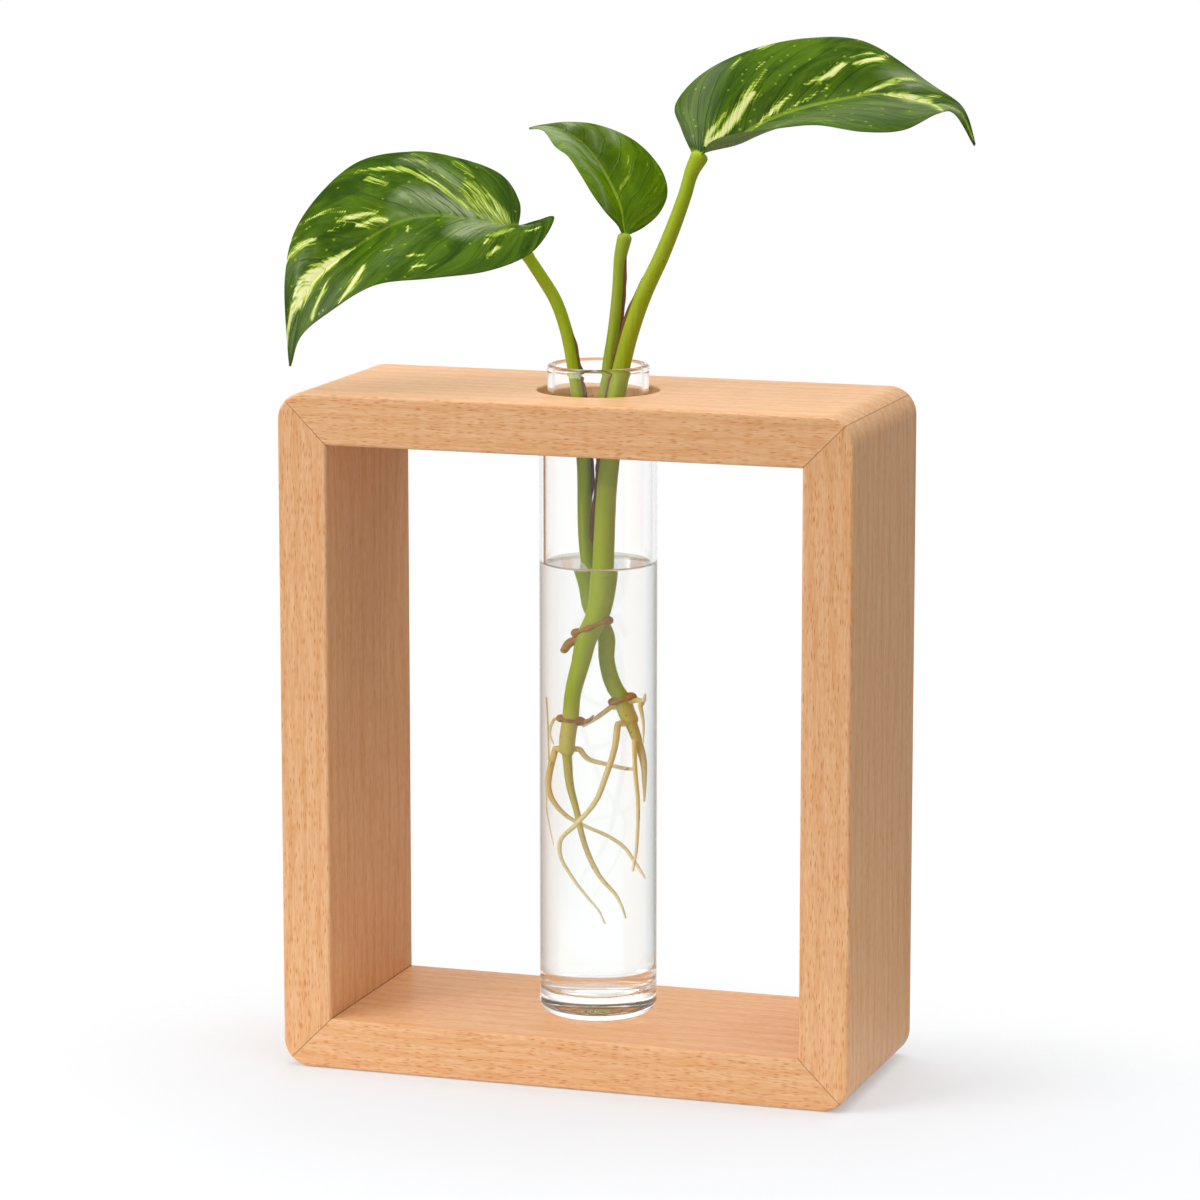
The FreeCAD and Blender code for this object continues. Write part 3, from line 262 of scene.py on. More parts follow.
def vase_rows(rows: Sequence[Row]) -> np.ndarray:
    """Turn share rows into places and radii in the vase's frame.

    Args:
        rows: share rows of places and radii.

    Returns:
        x, y, z and radius of each row in metres.
    """
    table = np.array(rows, float)
    scale = np.array([NECK_BORE, NECK_BORE, TUBE_HEIGHT, NECK_BORE])
    return (table * scale + np.array([0, 0, BOARD_THICK, 0])) * MM


def follow(rows: Sequence[Row], spots: np.ndarray) -> np.ndarray:
    """Follow a stalk's centre line, with pulls that suit the distances between its rows.

    Args:
        rows: the stalk's share rows.
        spots: where to read the line, in rows.

    Returns:
        Place and radius at each spot, in metres.
    """
    table = vase_rows(rows)
    steps = np.linalg.norm(np.diff(table[:, :3], axis=0), axis=1)
    pull = np.gradient(table, np.concatenate([[0.0], np.cumsum(steps)]), axis=0)
    span = np.clip(spots.astype(int), 0, len(rows) - 2)
    part, run = (spots - span)[:, None], steps[span][:, None]
    square, cube = part**2, part**3
    return (
        table[span] * (2 * cube - 3 * square + 1)
        + pull[span] * run * (cube - 2 * square + part)
        + table[span + 1] * (3 * square - 2 * cube)
        + pull[span + 1] * run * (cube - square)
    )


def soft_step(low: float, high: float, value: np.ndarray) -> np.ndarray:
    """Rise smoothly from 0 at low to 1 at high."""
    part = np.clip((value - low) / (high - low), 0, 1)
    return part * part * (3 - 2 * part)


def unit(vectors: np.ndarray) -> np.ndarray:
    """Scale vectors to length 1."""
    return vectors / np.maximum(np.linalg.norm(vectors, axis=-1, keepdims=True), 1e-12)


class Nodes:
    """A short way to place and join the nodes of one tree."""

    def __init__(self, tree: bpy.types.NodeTree) -> None:
        """Keep the tree that the nodes go into."""
        self.tree = tree

    def put(self, kind: str, settings: dict | None = None, inputs: dict | None = None) -> bpy.types.Node:
        """Place a node.

        Args:
            kind: the node's type name.
            settings: the node's own settings.
            inputs: a value or a socket for each input, by name or number.

        Returns:
            The node.
        """
        node = self.tree.nodes.new(kind)
        for name, value in (settings or {}).items():
            setattr(node, name, value)
        for name, value in (inputs or {}).items():
            if isinstance(value, bpy.types.NodeSocket):
                self.tree.links.new(value, node.inputs[name])
            else:
                node.inputs[name].default_value = value
        return node

    def result(self, kind: str, inputs: dict) -> Socket:
        """Place a node and return its first result."""
        return self.put(kind, None, inputs).outputs[0]

    def stored(self, name: str) -> Socket:
        """Return the value that the mesh stores under a name."""
        return self.put("ShaderNodeAttribute", {"attribute_name": name}).outputs["Fac"]

    def spot(self) -> Socket:
        """Return the place on the object in metres."""
        return self.put("ShaderNodeTexCoord").outputs["Object"]

    def vectors(
        self, operation: str, first: Socket, second: Socket | Point = (0.0, 0.0, 0.0)
    ) -> bpy.types.Node:
        """Place a vector math node."""
        return self.put("ShaderNodeVectorMath", {"operation": operation}, {0: first, 1: second})

    def maths(
        self, operation: str, first: Value, second: Value = 0.0, third: Value = 0.0, clamp: bool = False
    ) -> Socket:
        """Place a math node and return its result."""
        settings = {"operation": operation, "use_clamp": clamp}
        return self.put("ShaderNodeMath", settings, {0: first, 1: second, 2: third}).outputs[0]

    def times(self, first: Value, second: Value) -> Socket:
        """Multiply two values."""
        return self.maths("MULTIPLY", first, second)

    def plus(self, first: Value, second: Value) -> Socket:
        """Add two values."""
        return self.maths("ADD", first, second)

    def minus(self, first: Value, second: Value) -> Socket:
        """Take the second value from the first."""
        return self.maths("SUBTRACT", first, second)

    def times_plus(self, first: Value, second: Value, third: Value) -> Socket:
        """Multiply the first two values and add the third."""
        return self.maths("MULTIPLY_ADD", first, second, third)

    def larger(self, first: Value, second: Value) -> Socket:
        """Return the larger of two values."""
        return self.maths("MAXIMUM", first, second)

    def magnitude(self, value: Value) -> Socket:
        """Return a value without its sign."""
        return self.maths("ABSOLUTE", value)

    def between(self, value: Value, low: float, high: float, start: float = 0.0, end: float = 1.0) -> Socket:
        """Map a value smoothly from the range low to high onto start to end."""
        inputs = {"Value": value, "From Min": low, "From Max": high, "To Min": start, "To Max": end}
        return self.put("ShaderNodeMapRange", {"interpolation_type": "SMOOTHSTEP"}, inputs).outputs[0]

    def blend(self, share: Value, first: Socket | Colour, second: Socket | Colour) -> Socket:
        """Mix two colours.

        Args:
            share: how much of the second colour shows.
            first: the colour at share 0.
            second: the colour at share 1.

        Returns:
            The mixed colour.
        """
        settings = {"data_type": "RGBA", "clamp_factor": True}
        inputs = {0: share, 6: paint(first), 7: paint(second)}
        return self.put("ShaderNodeMix", settings, inputs).outputs[2]

    def noise(
        self, place: Socket, scale: float, detail: float = 3.0, rough: float = 0.5, warp: float = 0.0
    ) -> Socket:
        """Place a noise texture and return its value."""
        inputs = {"Vector": place, "Scale": scale, "Detail": detail, "Roughness": rough, "Distortion": warp}
        return self.result("ShaderNodeTexNoise", inputs)

    def join(self, across: Value, along: Value, up: Value) -> Socket:
        """Make a vector of three values."""
        return self.result("ShaderNodeCombineXYZ", {0: across, 1: along, 2: up})

    def split(self, vector: Socket) -> tuple[Socket, ...]:
        """Take a vector apart into its three values."""
        return tuple(self.put("ShaderNodeSeparateXYZ", None, {0: vector}).outputs)

    def stretch(self, place: Socket, scale: Point) -> Socket:
        """Scale a place by its own amount along each axis."""
        return self.vectors("MULTIPLY", place, scale).outputs[0]

    def bump(self, height: Socket, distance: float, strength: float = 1.0) -> Socket:
        """Place a bump of a height in metres and return its normal."""
        inputs = {"Height": height, "Distance": distance, "Strength": strength}
        return self.result("ShaderNodeBump", inputs)


def paint(colour: Socket | Colour) -> Socket | tuple[float, ...]:
    """Give a plain colour its alpha, and leave a socket as it is."""
    return (*colour, 1.0) if isinstance(colour, tuple) else colour


def new_group(name: str, vectors: Sequence[str], values: Sequence[str]) -> tuple[Nodes, dict[str, Socket]]:
    """Start a shader node group.

    Args:
        name: the group's name.
        vectors: names of its vector inputs.
        values: names of its plain inputs.

    Returns:
        The group's nodes, and its input sockets by name.
    """
    tree = bpy.data.node_groups.new(name, "ShaderNodeTree")
    for kind, labels in (("NodeSocketVector", vectors), ("NodeSocketFloat", values)):
        for label in labels:
            tree.interface.new_socket(label, in_out="INPUT", socket_type=kind)
    entry = tree.nodes.new("NodeGroupInput")
    return Nodes(tree), {label: entry.outputs[label] for label in (*vectors, *values)}


def close_group(nodes: Nodes, results: dict[str, Socket]) -> bpy.types.NodeTree:
    """Let a group put out its results.

    Args:
        nodes: the group's nodes.
        results: the plain value to put out under each name.

    Returns:
        The group's tree.
    """
    for label in results:
        nodes.tree.interface.new_socket(label, in_out="OUTPUT", socket_type="NodeSocketFloat")
    leave = nodes.tree.nodes.new("NodeGroupOutput")
    for label, value in results.items():
        nodes.tree.links.new(value, leave.inputs[label])
    return nodes.tree


def use_group(nodes: Nodes, group: bpy.types.NodeTree, inputs: dict) -> bpy.types.Node:
    """Place a group in a material and fill its inputs."""
    return nodes.put("ShaderNodeGroup", {"node_tree": group}, inputs)


def new_material(name: str) -> tuple[bpy.types.Material, Nodes]:
    """Start a node material with nothing in it.

    Args:
        name: the material's name.

    Returns:
        The material and its nodes.
    """
    material = bpy.data.materials.new(name)
    material.use_nodes = True
    material.node_tree.nodes.clear()
    return material, Nodes(material.node_tree)


def surface(nodes: Nodes, shader: Socket) -> None:
    """Join a shader to the material's output."""
    nodes.put("ShaderNodeOutputMaterial", None, {"Surface": shader})


def fibre_group() -> bpy.types.NodeTree:
    """Build the wood figure: growth bands, fibres and ray flecks, on places in millimetres.

    Returns:
        The group's tree.
    """
    nodes, given = new_group("wood_figure", ("Place",), ("Board",))
    shift = nodes.join(nodes.times(given["Board"], 37.0), given["Board"], given["Board"])
    place = nodes.vectors("ADD", given["Place"], shift).outputs[0]
    slow = nodes.noise(nodes.stretch(place, (0.010, 0.045, 0.05)), 1.0, 2.0)
    _, depth, across = nodes.split(place)
    layer = nodes.times_plus(slow, 3.5, nodes.times(depth, 0.17))
    layer = nodes.plus(layer, nodes.times(across, 0.24))
    wave = nodes.maths("SINE", nodes.times(layer, math.tau))
    band = nodes.between(wave, -0.2, 1.0)
    coarse = nodes.noise(nodes.stretch(place, (0.05, 1.0, 1.0)), 1.0, 4.0, 0.6)
    fine = nodes.noise(nodes.stretch(place, (0.24, 2.8, 2.8)), 1.0, 3.0, 0.65)
    fibre = nodes.times_plus(fine, 0.6, nodes.times(coarse, 0.4))
    flecks = 0.0
    for size, near, far, least in FLECK_SHARES:
        cells = nodes.put("ShaderNodeTexVoronoi", None, {"Vector": nodes.stretch(place, size), "Scale": 1.0})
        dash = nodes.between(cells.outputs["Distance"], near, far, 1.0, 0.0)
        keep = nodes.between(nodes.split(cells.outputs["Color"])[0], least, 1.0, 0.0, 1.0)
        flecks = nodes.larger(nodes.times(dash, keep), flecks)
    return close_group(nodes, {"Band": band, "Fibre": fibre, "Fleck": flecks})


def speck_group() -> bpy.types.NodeTree:
    """Build small scattered specks, for roots, stalks and leaves.

    Returns:
        The group's tree.
    """
    nodes, given = new_group("specks", ("Place",), ("Size", "Share"))
    inputs = {"Vector": given["Place"], "Scale": nodes.maths("DIVIDE", 1.0, given["Size"])}
    cells = nodes.put("ShaderNodeTexVoronoi", None, inputs)
    dot = nodes.between(cells.outputs["Distance"], 0.12, 0.30, 1.0, 0.0)
    keep = nodes.maths("LESS_THAN", nodes.split(cells.outputs["Color"])[1], given["Share"])
    return close_group(nodes, {"Speck": nodes.times(dot, keep)})


def vein_group() -> bpy.types.NodeTree:
    """Build a leaf's veins and its ragged pale patches, on the blade's own map.

    Returns:
        The group's tree.
    """
    nodes, given = new_group("leaf_figure", ("Blade",), ("Pale", "Veins", "Lean", "Seed", "Rib"))
    across, along, _ = nodes.split(given["Blade"])
    signed = nodes.minus(nodes.times_plus(across, 2.0, -1.0), given["Rib"])
    off = nodes.magnitude(signed)
    sweep = nodes.times(nodes.minus(VEIN_SWEEP, along), given["Lean"])
    lag = nodes.times(nodes.maths("POWER", off, VEIN_BEND), sweep)
    wander = nodes.noise(nodes.join(signed, along, given["Seed"]), 5.0, 2.0)
    start = nodes.minus(nodes.times_plus(wander, 0.035, along), lag)
    turn = nodes.times(start, given["Veins"])
    place = nodes.maths("FRACT", turn)
    peak = nodes.times(nodes.magnitude(nodes.minus(place, 0.5)), 2.0)
    fade = nodes.between(off, 0.55, 1.0, 1.0, 0.25)
    vein = nodes.times(nodes.between(peak, 0.86, 1.0), fade)
    fine = nodes.maths("FRACT", nodes.times(turn, 5.0))
    fine_peak = nodes.times(nodes.magnitude(nodes.minus(fine, 0.5)), 2.0)
    thread = nodes.times(nodes.between(fine_peak, 0.75, 1.0), 0.22)
    rib_width = nodes.between(along, 0.0, 1.0, 0.045, 0.02)
    rib = nodes.maths("SUBTRACT", 1.0, nodes.maths("DIVIDE", off, rib_width), clamp=True)
    streak_place = nodes.join(nodes.times(turn, 7.5), nodes.times(signed, 4.2), given["Seed"])
    streak = nodes.noise(streak_place, 1.0, 4.0, 0.66, 0.4)
    patch = nodes.plus(given["Pale"], nodes.times_plus(streak, 1.9, -1.05))
    cloud_place = nodes.join(nodes.times(turn, 0.9), nodes.times(signed, 2.2), given["Seed"])
    cloud = nodes.noise(cloud_place, 1.0, 5.0, 0.68, 0.5)
    results = {
        "Streak": streak,
        "Patch": nodes.between(patch, 0.20, 1.0),
        "Vein": nodes.plus(vein, thread),
        "Midrib": rib,
        "Swell": nodes.minus(1.0, nodes.maths("POWER", peak, 2.0)),
        "Cloud": cloud,
    }
    return close_group(nodes, results)


@dataclass(frozen=True)
class BeechFinish:
    """Oiled beech: warm tan with thin bands, short ray flecks and a dark line in each mitre."""

    name: str
    board: float
    grain: Grain
    light: Colour = (0.88, 0.530, 0.285)
    deep: Colour = (0.76, 0.365, 0.145)
    fleck: Colour = (0.64, 0.215, 0.050)
    seam: Colour = (0.23, 0.105, 0.045)
    seam_width: float = 0.15
    fleck_share: float = 0.95
    seam_share: float = 0.6
    bump_height: float = 0.00006
    shine: float = 0.22

    def build(self, figure: bpy.types.NodeTree) -> bpy.types.Material:
        """Make the material from the wood figure.

        Args:
            figure: the wood figure's group.

        Returns:
            The material.
        """
        material, nodes = new_material(self.name)
        place = nodes.spot()
        millimetres = nodes.stretch(place, (1000.0, 1000.0, 1000.0))
        x, y, z = nodes.split(millimetres)
        along, across = (x, z) if self.grain is Grain.ACROSS_THE_FRAME else (z, x)
        wood = use_group(nodes, figure, {"Place": nodes.join(along, y, across), "Board": self.board})
        fibre = nodes.between(wood.outputs["Fibre"], 0.36, 0.64)
        tone = nodes.times_plus(wood.outputs["Band"], 0.24, nodes.times(fibre, 0.76))
        colour = nodes.blend(tone, self.light, self.deep)
        facing = nodes.put("ShaderNodeNewGeometry").outputs["Normal"]
        edge_face = nodes.between(nodes.magnitude(nodes.split(facing)[1]), 0.3, 0.9, 0.40, 1.0)
        fleck = nodes.times(wood.outputs["Fleck"], edge_face)
        colour = nodes.blend(nodes.times(fleck, self.fleck_share), colour, self.fleck)
        seam = self.seam_mask(nodes, x, z)
        colour = nodes.blend(nodes.times(seam, self.seam_share), colour, self.seam)
        height = nodes.times_plus(fleck, -0.15, nodes.times(fibre, 0.3))
        height = nodes.times_plus(seam, -1.5, height)
        rough = nodes.times_plus(tone, 0.10, 0.38)
        normal = nodes.bump(height, self.bump_height, 0.7)
        inputs = {
            "Base Color": colour,
            "Roughness": rough,
            "Normal": normal,
            "Specular IOR Level": self.shine,
        }
        surface(nodes, nodes.result("ShaderNodeBsdfPrincipled", inputs))
        return material

    def seam_mask(self, nodes: Nodes, x: Socket, z: Socket) -> Socket:
        """Find the mitres, where the way in from the side and from the end are the same.

        Args:
            nodes: the material's nodes.
            x: the place across the frame in millimetres.
            z: the place up the frame in millimetres.

        Returns:
            A value that is 1 on the mitres and 0 elsewhere.
        """
        from_side = nodes.minus(FRAME_WIDTH / 2, nodes.magnitude(x))
        from_end = nodes.maths("MINIMUM", z, nodes.minus(FRAME_HEIGHT, z))
        apart = nodes.magnitude(nodes.minus(from_side, from_end))
        return nodes.between(apart, self.seam_width * 0.5, self.seam_width * 1.5, 1.0, 0.0)


@dataclass(frozen=True)
class BiscuitFinish:
    """Pressed beech with short crossed fibres."""

    name: str = "pressed_beech"

    def build(self, figure: bpy.types.NodeTree) -> bpy.types.Material:
        """Make the material from the wood figure, drawn finer than on the boards.

        Args:
            figure: the wood figure's group.

        Returns:
            The material.
        """
        material, nodes = new_material(self.name)
        place = nodes.spot()
        millimetres = nodes.stretch(place, (1900.0, 900.0, 1900.0))
        wood = use_group(nodes, figure, {"Place": millimetres, "Board": 5.0})
        colour = nodes.blend(wood.outputs["Fibre"], (0.60, 0.38, 0.21), (0.42, 0.24, 0.12))
        normal = nodes.bump(wood.outputs["Fibre"], 0.0001)
        inputs = {"Base Color": colour, "Roughness": 0.7, "Normal": normal}
        surface(nodes, nodes.result("ShaderNodeBsdfPrincipled", inputs))
        return material


@dataclass(frozen=True)
class ClearFinish:
    """Glass or water: clear, with light let straight through to what stands in it."""

    name: str
    refraction: float
    tint: Colour
    shade: Colour
    glossy_limit: float = 3.5
    ray_limit: float = 9.5

    def build(self) -> bpy.types.Material:
        """Make the material.

        Returns:
            The material.
        """
        material, nodes = new_material(self.name)
        inputs = {
            "Base Color": paint(self.tint),
            "Roughness": 0.0,
            "IOR": self.refraction,
            "Transmission Weight": 1.0,
        }
        clear = nodes.result("ShaderNodeBsdfPrincipled", inputs)
        straight = nodes.result("ShaderNodeBsdfTransparent", {"Color": paint(self.shade)})
        path = nodes.put("ShaderNodeLightPath")
        unseen = nodes.larger(path.outputs["Is Shadow Ray"], path.outputs["Is Diffuse Ray"])
        tired = nodes.maths("GREATER_THAN", path.outputs["Glossy Depth"], self.glossy_limit)
        worn = nodes.maths("GREATER_THAN", path.outputs["Ray Depth"], self.ray_limit)
        unseen = nodes.larger(unseen, nodes.larger(tired, worn))
        surface(nodes, nodes.result("ShaderNodeMixShader", {0: unseen, 1: clear, 2: straight}))
        return material


@dataclass(frozen=True)
class StalkFinish:
    """Waxy plant skin with long streaks, going from a low colour to a high one."""

    name: str
    low: Colour
    high: Colour
    streak: Colour
    speck_share: float
    rough: float = 0.42
    soft: float = 0.06
    change: tuple[float, float] = (0.0, 1.0)
    speck: Colour = (0.16, 0.075, 0.03)
    speck_size: float = 0.0011
    bump_height: float = 0.0001
    shine: float = 0.2

    def build(self, specks: bpy.types.NodeTree) -> bpy.types.Material:
        """Make the material from the speck group.

        Args:
            specks: the speck group.

        Returns:
            The material.
        """
        material, nodes = new_material(self.name)
        place = nodes.spot()
        along = nodes.stored("along")
        colour = nodes.blend(nodes.between(along, *self.change), self.low, self.high)
        cloud = nodes.noise(nodes.stretch(place, (500.0, 500.0, 120.0)), 1.0, 3.0)
        streak = nodes.noise(nodes.stretch(place, (1500.0, 1500.0, 70.0)), 1.0, 3.0, 0.6)
        mark = nodes.between(nodes.plus(streak, nodes.times(cloud, 0.4)), 0.62, 0.86)
        colour = nodes.blend(nodes.times(mark, 0.3), colour, self.streak)
        dots = use_group(nodes, specks, {"Place": place, "Size": self.speck_size, "Share": self.speck_share})
        colour = nodes.blend(nodes.times(dots.outputs[0], 0.7), colour, self.speck)
        normal = nodes.bump(streak, self.bump_height, 0.3)
        inputs = {
            "Base Color": colour,
            "Roughness": self.rough,
            "Normal": normal,
            "Specular IOR Level": self.shine,
            "Subsurface Weight": self.soft,
            "Subsurface Radius": (0.0016, 0.0020, 0.0006),
            "Subsurface Scale": 1.0,
        }
        surface(nodes, nodes.result("ShaderNodeBsdfPrincipled", inputs))
        return material


@dataclass(frozen=True)
class BladeFinish:
    """A variegated leaf: deep glossy green, yellow-green clouds and cream patches, with a grey-green sheen
    painted in where the leaf reflects light.
    """

    name: str
    veins: float
    lean: float
    seed: float
    rib: float = 0.0
    rib_paint: float = 0.4
    calm: float = 0.1
    deep: Colour = (0.026, 0.066, 0.001)
    fresh: Colour = (0.082, 0.160, 0.001)
    lime: Colour = (0.34, 0.47, 0.025)
    cream: Colour = (0.76, 0.75, 0.34)
    # Painted highlight: the pale grey-green that stands in for the leaf's reflections.
    painted_highlight_colour: Colour = (0.36, 0.42, 0.22)
    under: Colour = (0.20, 0.33, 0.11)
    seat: Colour = (0.33, 0.43, 0.02)
    dry: Colour = (0.17, 0.045, 0.015)
    thin: Colour = (0.92, 0.94, 0.88)
    passing: float = 0.8
    speck_size: float = 0.0017
    bump_height: float = 0.00016
    shine: float = 0.24

    def build(self, figure: bpy.types.NodeTree, specks: bpy.types.NodeTree) -> bpy.types.Material:
        """Make the material from the leaf figure and the speck group.

        Args:
            figure: the leaf figure's group.
            specks: the speck group.

        Returns:
            The material.
        """
        material, nodes = new_material(self.name)
        blade = nodes.put("ShaderNodeUVMap", {"uv_map": "blade"}).outputs[0]
        pale = nodes.stored("pale")
        top = nodes.stored("top")
        own = {"Veins": self.veins, "Lean": self.lean, "Seed": self.seed, "Rib": self.rib}
        leaf = use_group(nodes, figure, {"Blade": blade, "Pale": pale, **own})
        vein, patch = leaf.outputs["Vein"], leaf.outputs["Patch"]
        colour = nodes.blend(nodes.between(leaf.outputs["Cloud"], 0.34, 0.68), self.deep, self.fresh)
        side, along, _ = nodes.split(blade)
        # Painted highlight: where the stored sheen marks lie, made ragged by the streaks, a pale grey-green
        # is painted in for the leaf's reflections.
        ragged = nodes.between(leaf.outputs["Streak"], 0.30, 0.54, self.calm, 1.0)
        painted_sheen = nodes.times(nodes.stored("painted_sheen"), ragged)
        colour = nodes.blend(painted_sheen, colour, self.painted_highlight_colour)
        # Painted shade: the veins are darkened towards the deep green for the shade in their grooves, which
        # also breaks the painted sheen.
        colour = nodes.blend(nodes.times(vein, 0.6), colour, self.deep)
        colour = nodes.blend(nodes.between(patch, 0.0, 0.5), colour, self.lime)
        colour = nodes.blend(nodes.between(patch, 0.42, 0.95), colour, self.cream)
        place = nodes.spot()
        dots = use_group(nodes, specks, {"Place": place, "Size": self.speck_size, "Share": 0.22})
        colour = nodes.blend(nodes.times(dots.outputs[0], 0.55), colour, self.lime)
        rib = nodes.between(leaf.outputs["Midrib"], 0.0, 0.7, 0.0, self.rib_paint)
        colour = nodes.blend(rib, colour, self.lime)
        seat = nodes.between(along, 0.0, 0.045, 0.8, 0.0)
        colour = nodes.blend(seat, colour, self.seat)
        rim = nodes.between(nodes.magnitude(nodes.times_plus(side, 2.0, -1.0)), 0.972, 0.995)
        colour = nodes.blend(nodes.times(rim, 0.6), colour, self.deep)
        tip = nodes.between(along, 0.982, 0.996)
        colour = nodes.blend(tip, colour, self.dry)
        colour = nodes.blend(top, nodes.blend(0.35, self.under, colour), colour)
        height = nodes.times_plus(leaf.outputs["Swell"], 0.6, nodes.times(vein, -0.5))
        grain = nodes.noise(nodes.stretch(place, (2600.0, 2600.0, 2600.0)), 1.0, 2.0)
        height = nodes.times_plus(grain, 0.12, height)
        normal = nodes.bump(height, self.bump_height, 0.8)
        rough = nodes.times_plus(leaf.outputs["Cloud"], 0.16, 0.25)
        inputs = {
            "Base Color": colour,
            "Roughness": nodes.times_plus(nodes.minus(1.0, top), 0.25, rough),
            "Normal": normal,
            "Specular IOR Level": self.shine,
            "Coat Weight": 0.03,
            "Coat Roughness": 0.2,
        }
        skin = nodes.result("ShaderNodeBsdfPrincipled", inputs)
        through = nodes.result("ShaderNodeBsdfTransparent", {"Color": paint(self.thin)})
        passed = nodes.times(nodes.put("ShaderNodeLightPath").outputs["Is Shadow Ray"], self.passing)
        surface(nodes, nodes.result("ShaderNodeMixShader", {0: passed, 1: skin, 2: through}))
        return material


def show(name: str, data: bpy.types.ID) -> bpy.types.Object:
    """Make an object and put it into the scene.

    Args:
        name: the object's name.
        data: its mesh, lamp or camera.

    Returns:
        The object.
    """
    thing = bpy.data.objects.new(name, data)
    bpy.context.scene.collection.objects.link(thing)
    return thing


def store(mesh: bpy.types.Mesh, name: str, values: Sequence[float]) -> None:
    """Store a value for each point of a mesh under a name."""
    mesh.attributes.new(name, "FLOAT", "POINT").data.foreach_set("value", np.asarray(values, np.float32))


def new_mesh_object(
    name: str, points: np.ndarray, faces: Iterable[Sequence[int]], material: bpy.types.Material
) -> bpy.types.Object:
    """Make a smooth mesh object at the origin.

    Args:
        name: the piece's name.
        points: its corners in metres.
        faces: the corners of each face, outside seen counter-clockwise.
        material: its finish.

    Returns:
        The object.
    """
    mesh = bpy.data.meshes.new(name)
    mesh.from_pydata([tuple(point) for point in points], [], [tuple(face) for face in faces])
    mesh.validate()
    mesh.materials.append(material)
    mesh.polygons.foreach_set("use_smooth", [True] * len(mesh.polygons))
    return show(name, mesh)


def settle(piece: bpy.types.Object, body: str, nodes: Sequence[str]) -> None:
    """Let a piece ride on its body, stand for its nodes and report itself.

    Args:
        piece: the piece.
        body: the body that it moves with.
        nodes: the CAD nodes that it stands for.
    """
    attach(piece, body)
    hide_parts(*nodes)
    LOG.info("%s: %d faces on %s", piece.name, len(piece.data.polygons), body)


def lathe(profile: Sequence[tuple[float, float]], turns: int) -> tuple[np.ndarray, list[tuple[int, ...]]]:
    """Turn a profile round the Z axis.

    Args:
        profile: (radius, height) in millimetres, from the axis at the foot back to the axis.
        turns: how many steps go round.

    Returns:
        Points in metres and faces that look outwards.
    """
    points = [(0.0, 0.0, profile[0][1])]
    for radius, height in profile[1:-1]:
        for step in range(turns):
            angle = math.tau * step / turns
            points.append((radius * math.cos(angle), radius * math.sin(angle), height))
    points.append((0.0, 0.0, profile[-1][1]))
    rings = len(profile) - 2
    faces: list[tuple[int, ...]] = []
    for step in range(turns):
        after = (step + 1) % turns
        faces.append((0, 1 + after, 1 + step))
        for ring in range(rings - 1):
            low, high = 1 + ring * turns, 1 + (ring + 1) * turns
            faces.append((low + step, low + after, high + after, high + step))
        low = 1 + (rings - 1) * turns
        faces.append((low + step, low + after, len(points) - 1))
    return np.array(points) * MM, faces


def bend(centre: tuple[float, float], radius: float, start: float, end: float, steps: int) -> list:
    """Draw an arc of a profile.

    Args:
        centre: (radius, height) of the arc's centre.
        radius: the arc's radius.
        start: the angle where it starts, in degrees.
        end: the angle where it ends, in degrees.
        steps: how many steps it has.

    Returns:
        Its points, one more than its steps.
    """
    found = []
    for step in range(steps + 1):
        angle = math.radians(start + (end - start) * step / steps)
        found.append((centre[0] + radius * math.cos(angle), centre[1] + radius * math.sin(angle)))
    return found


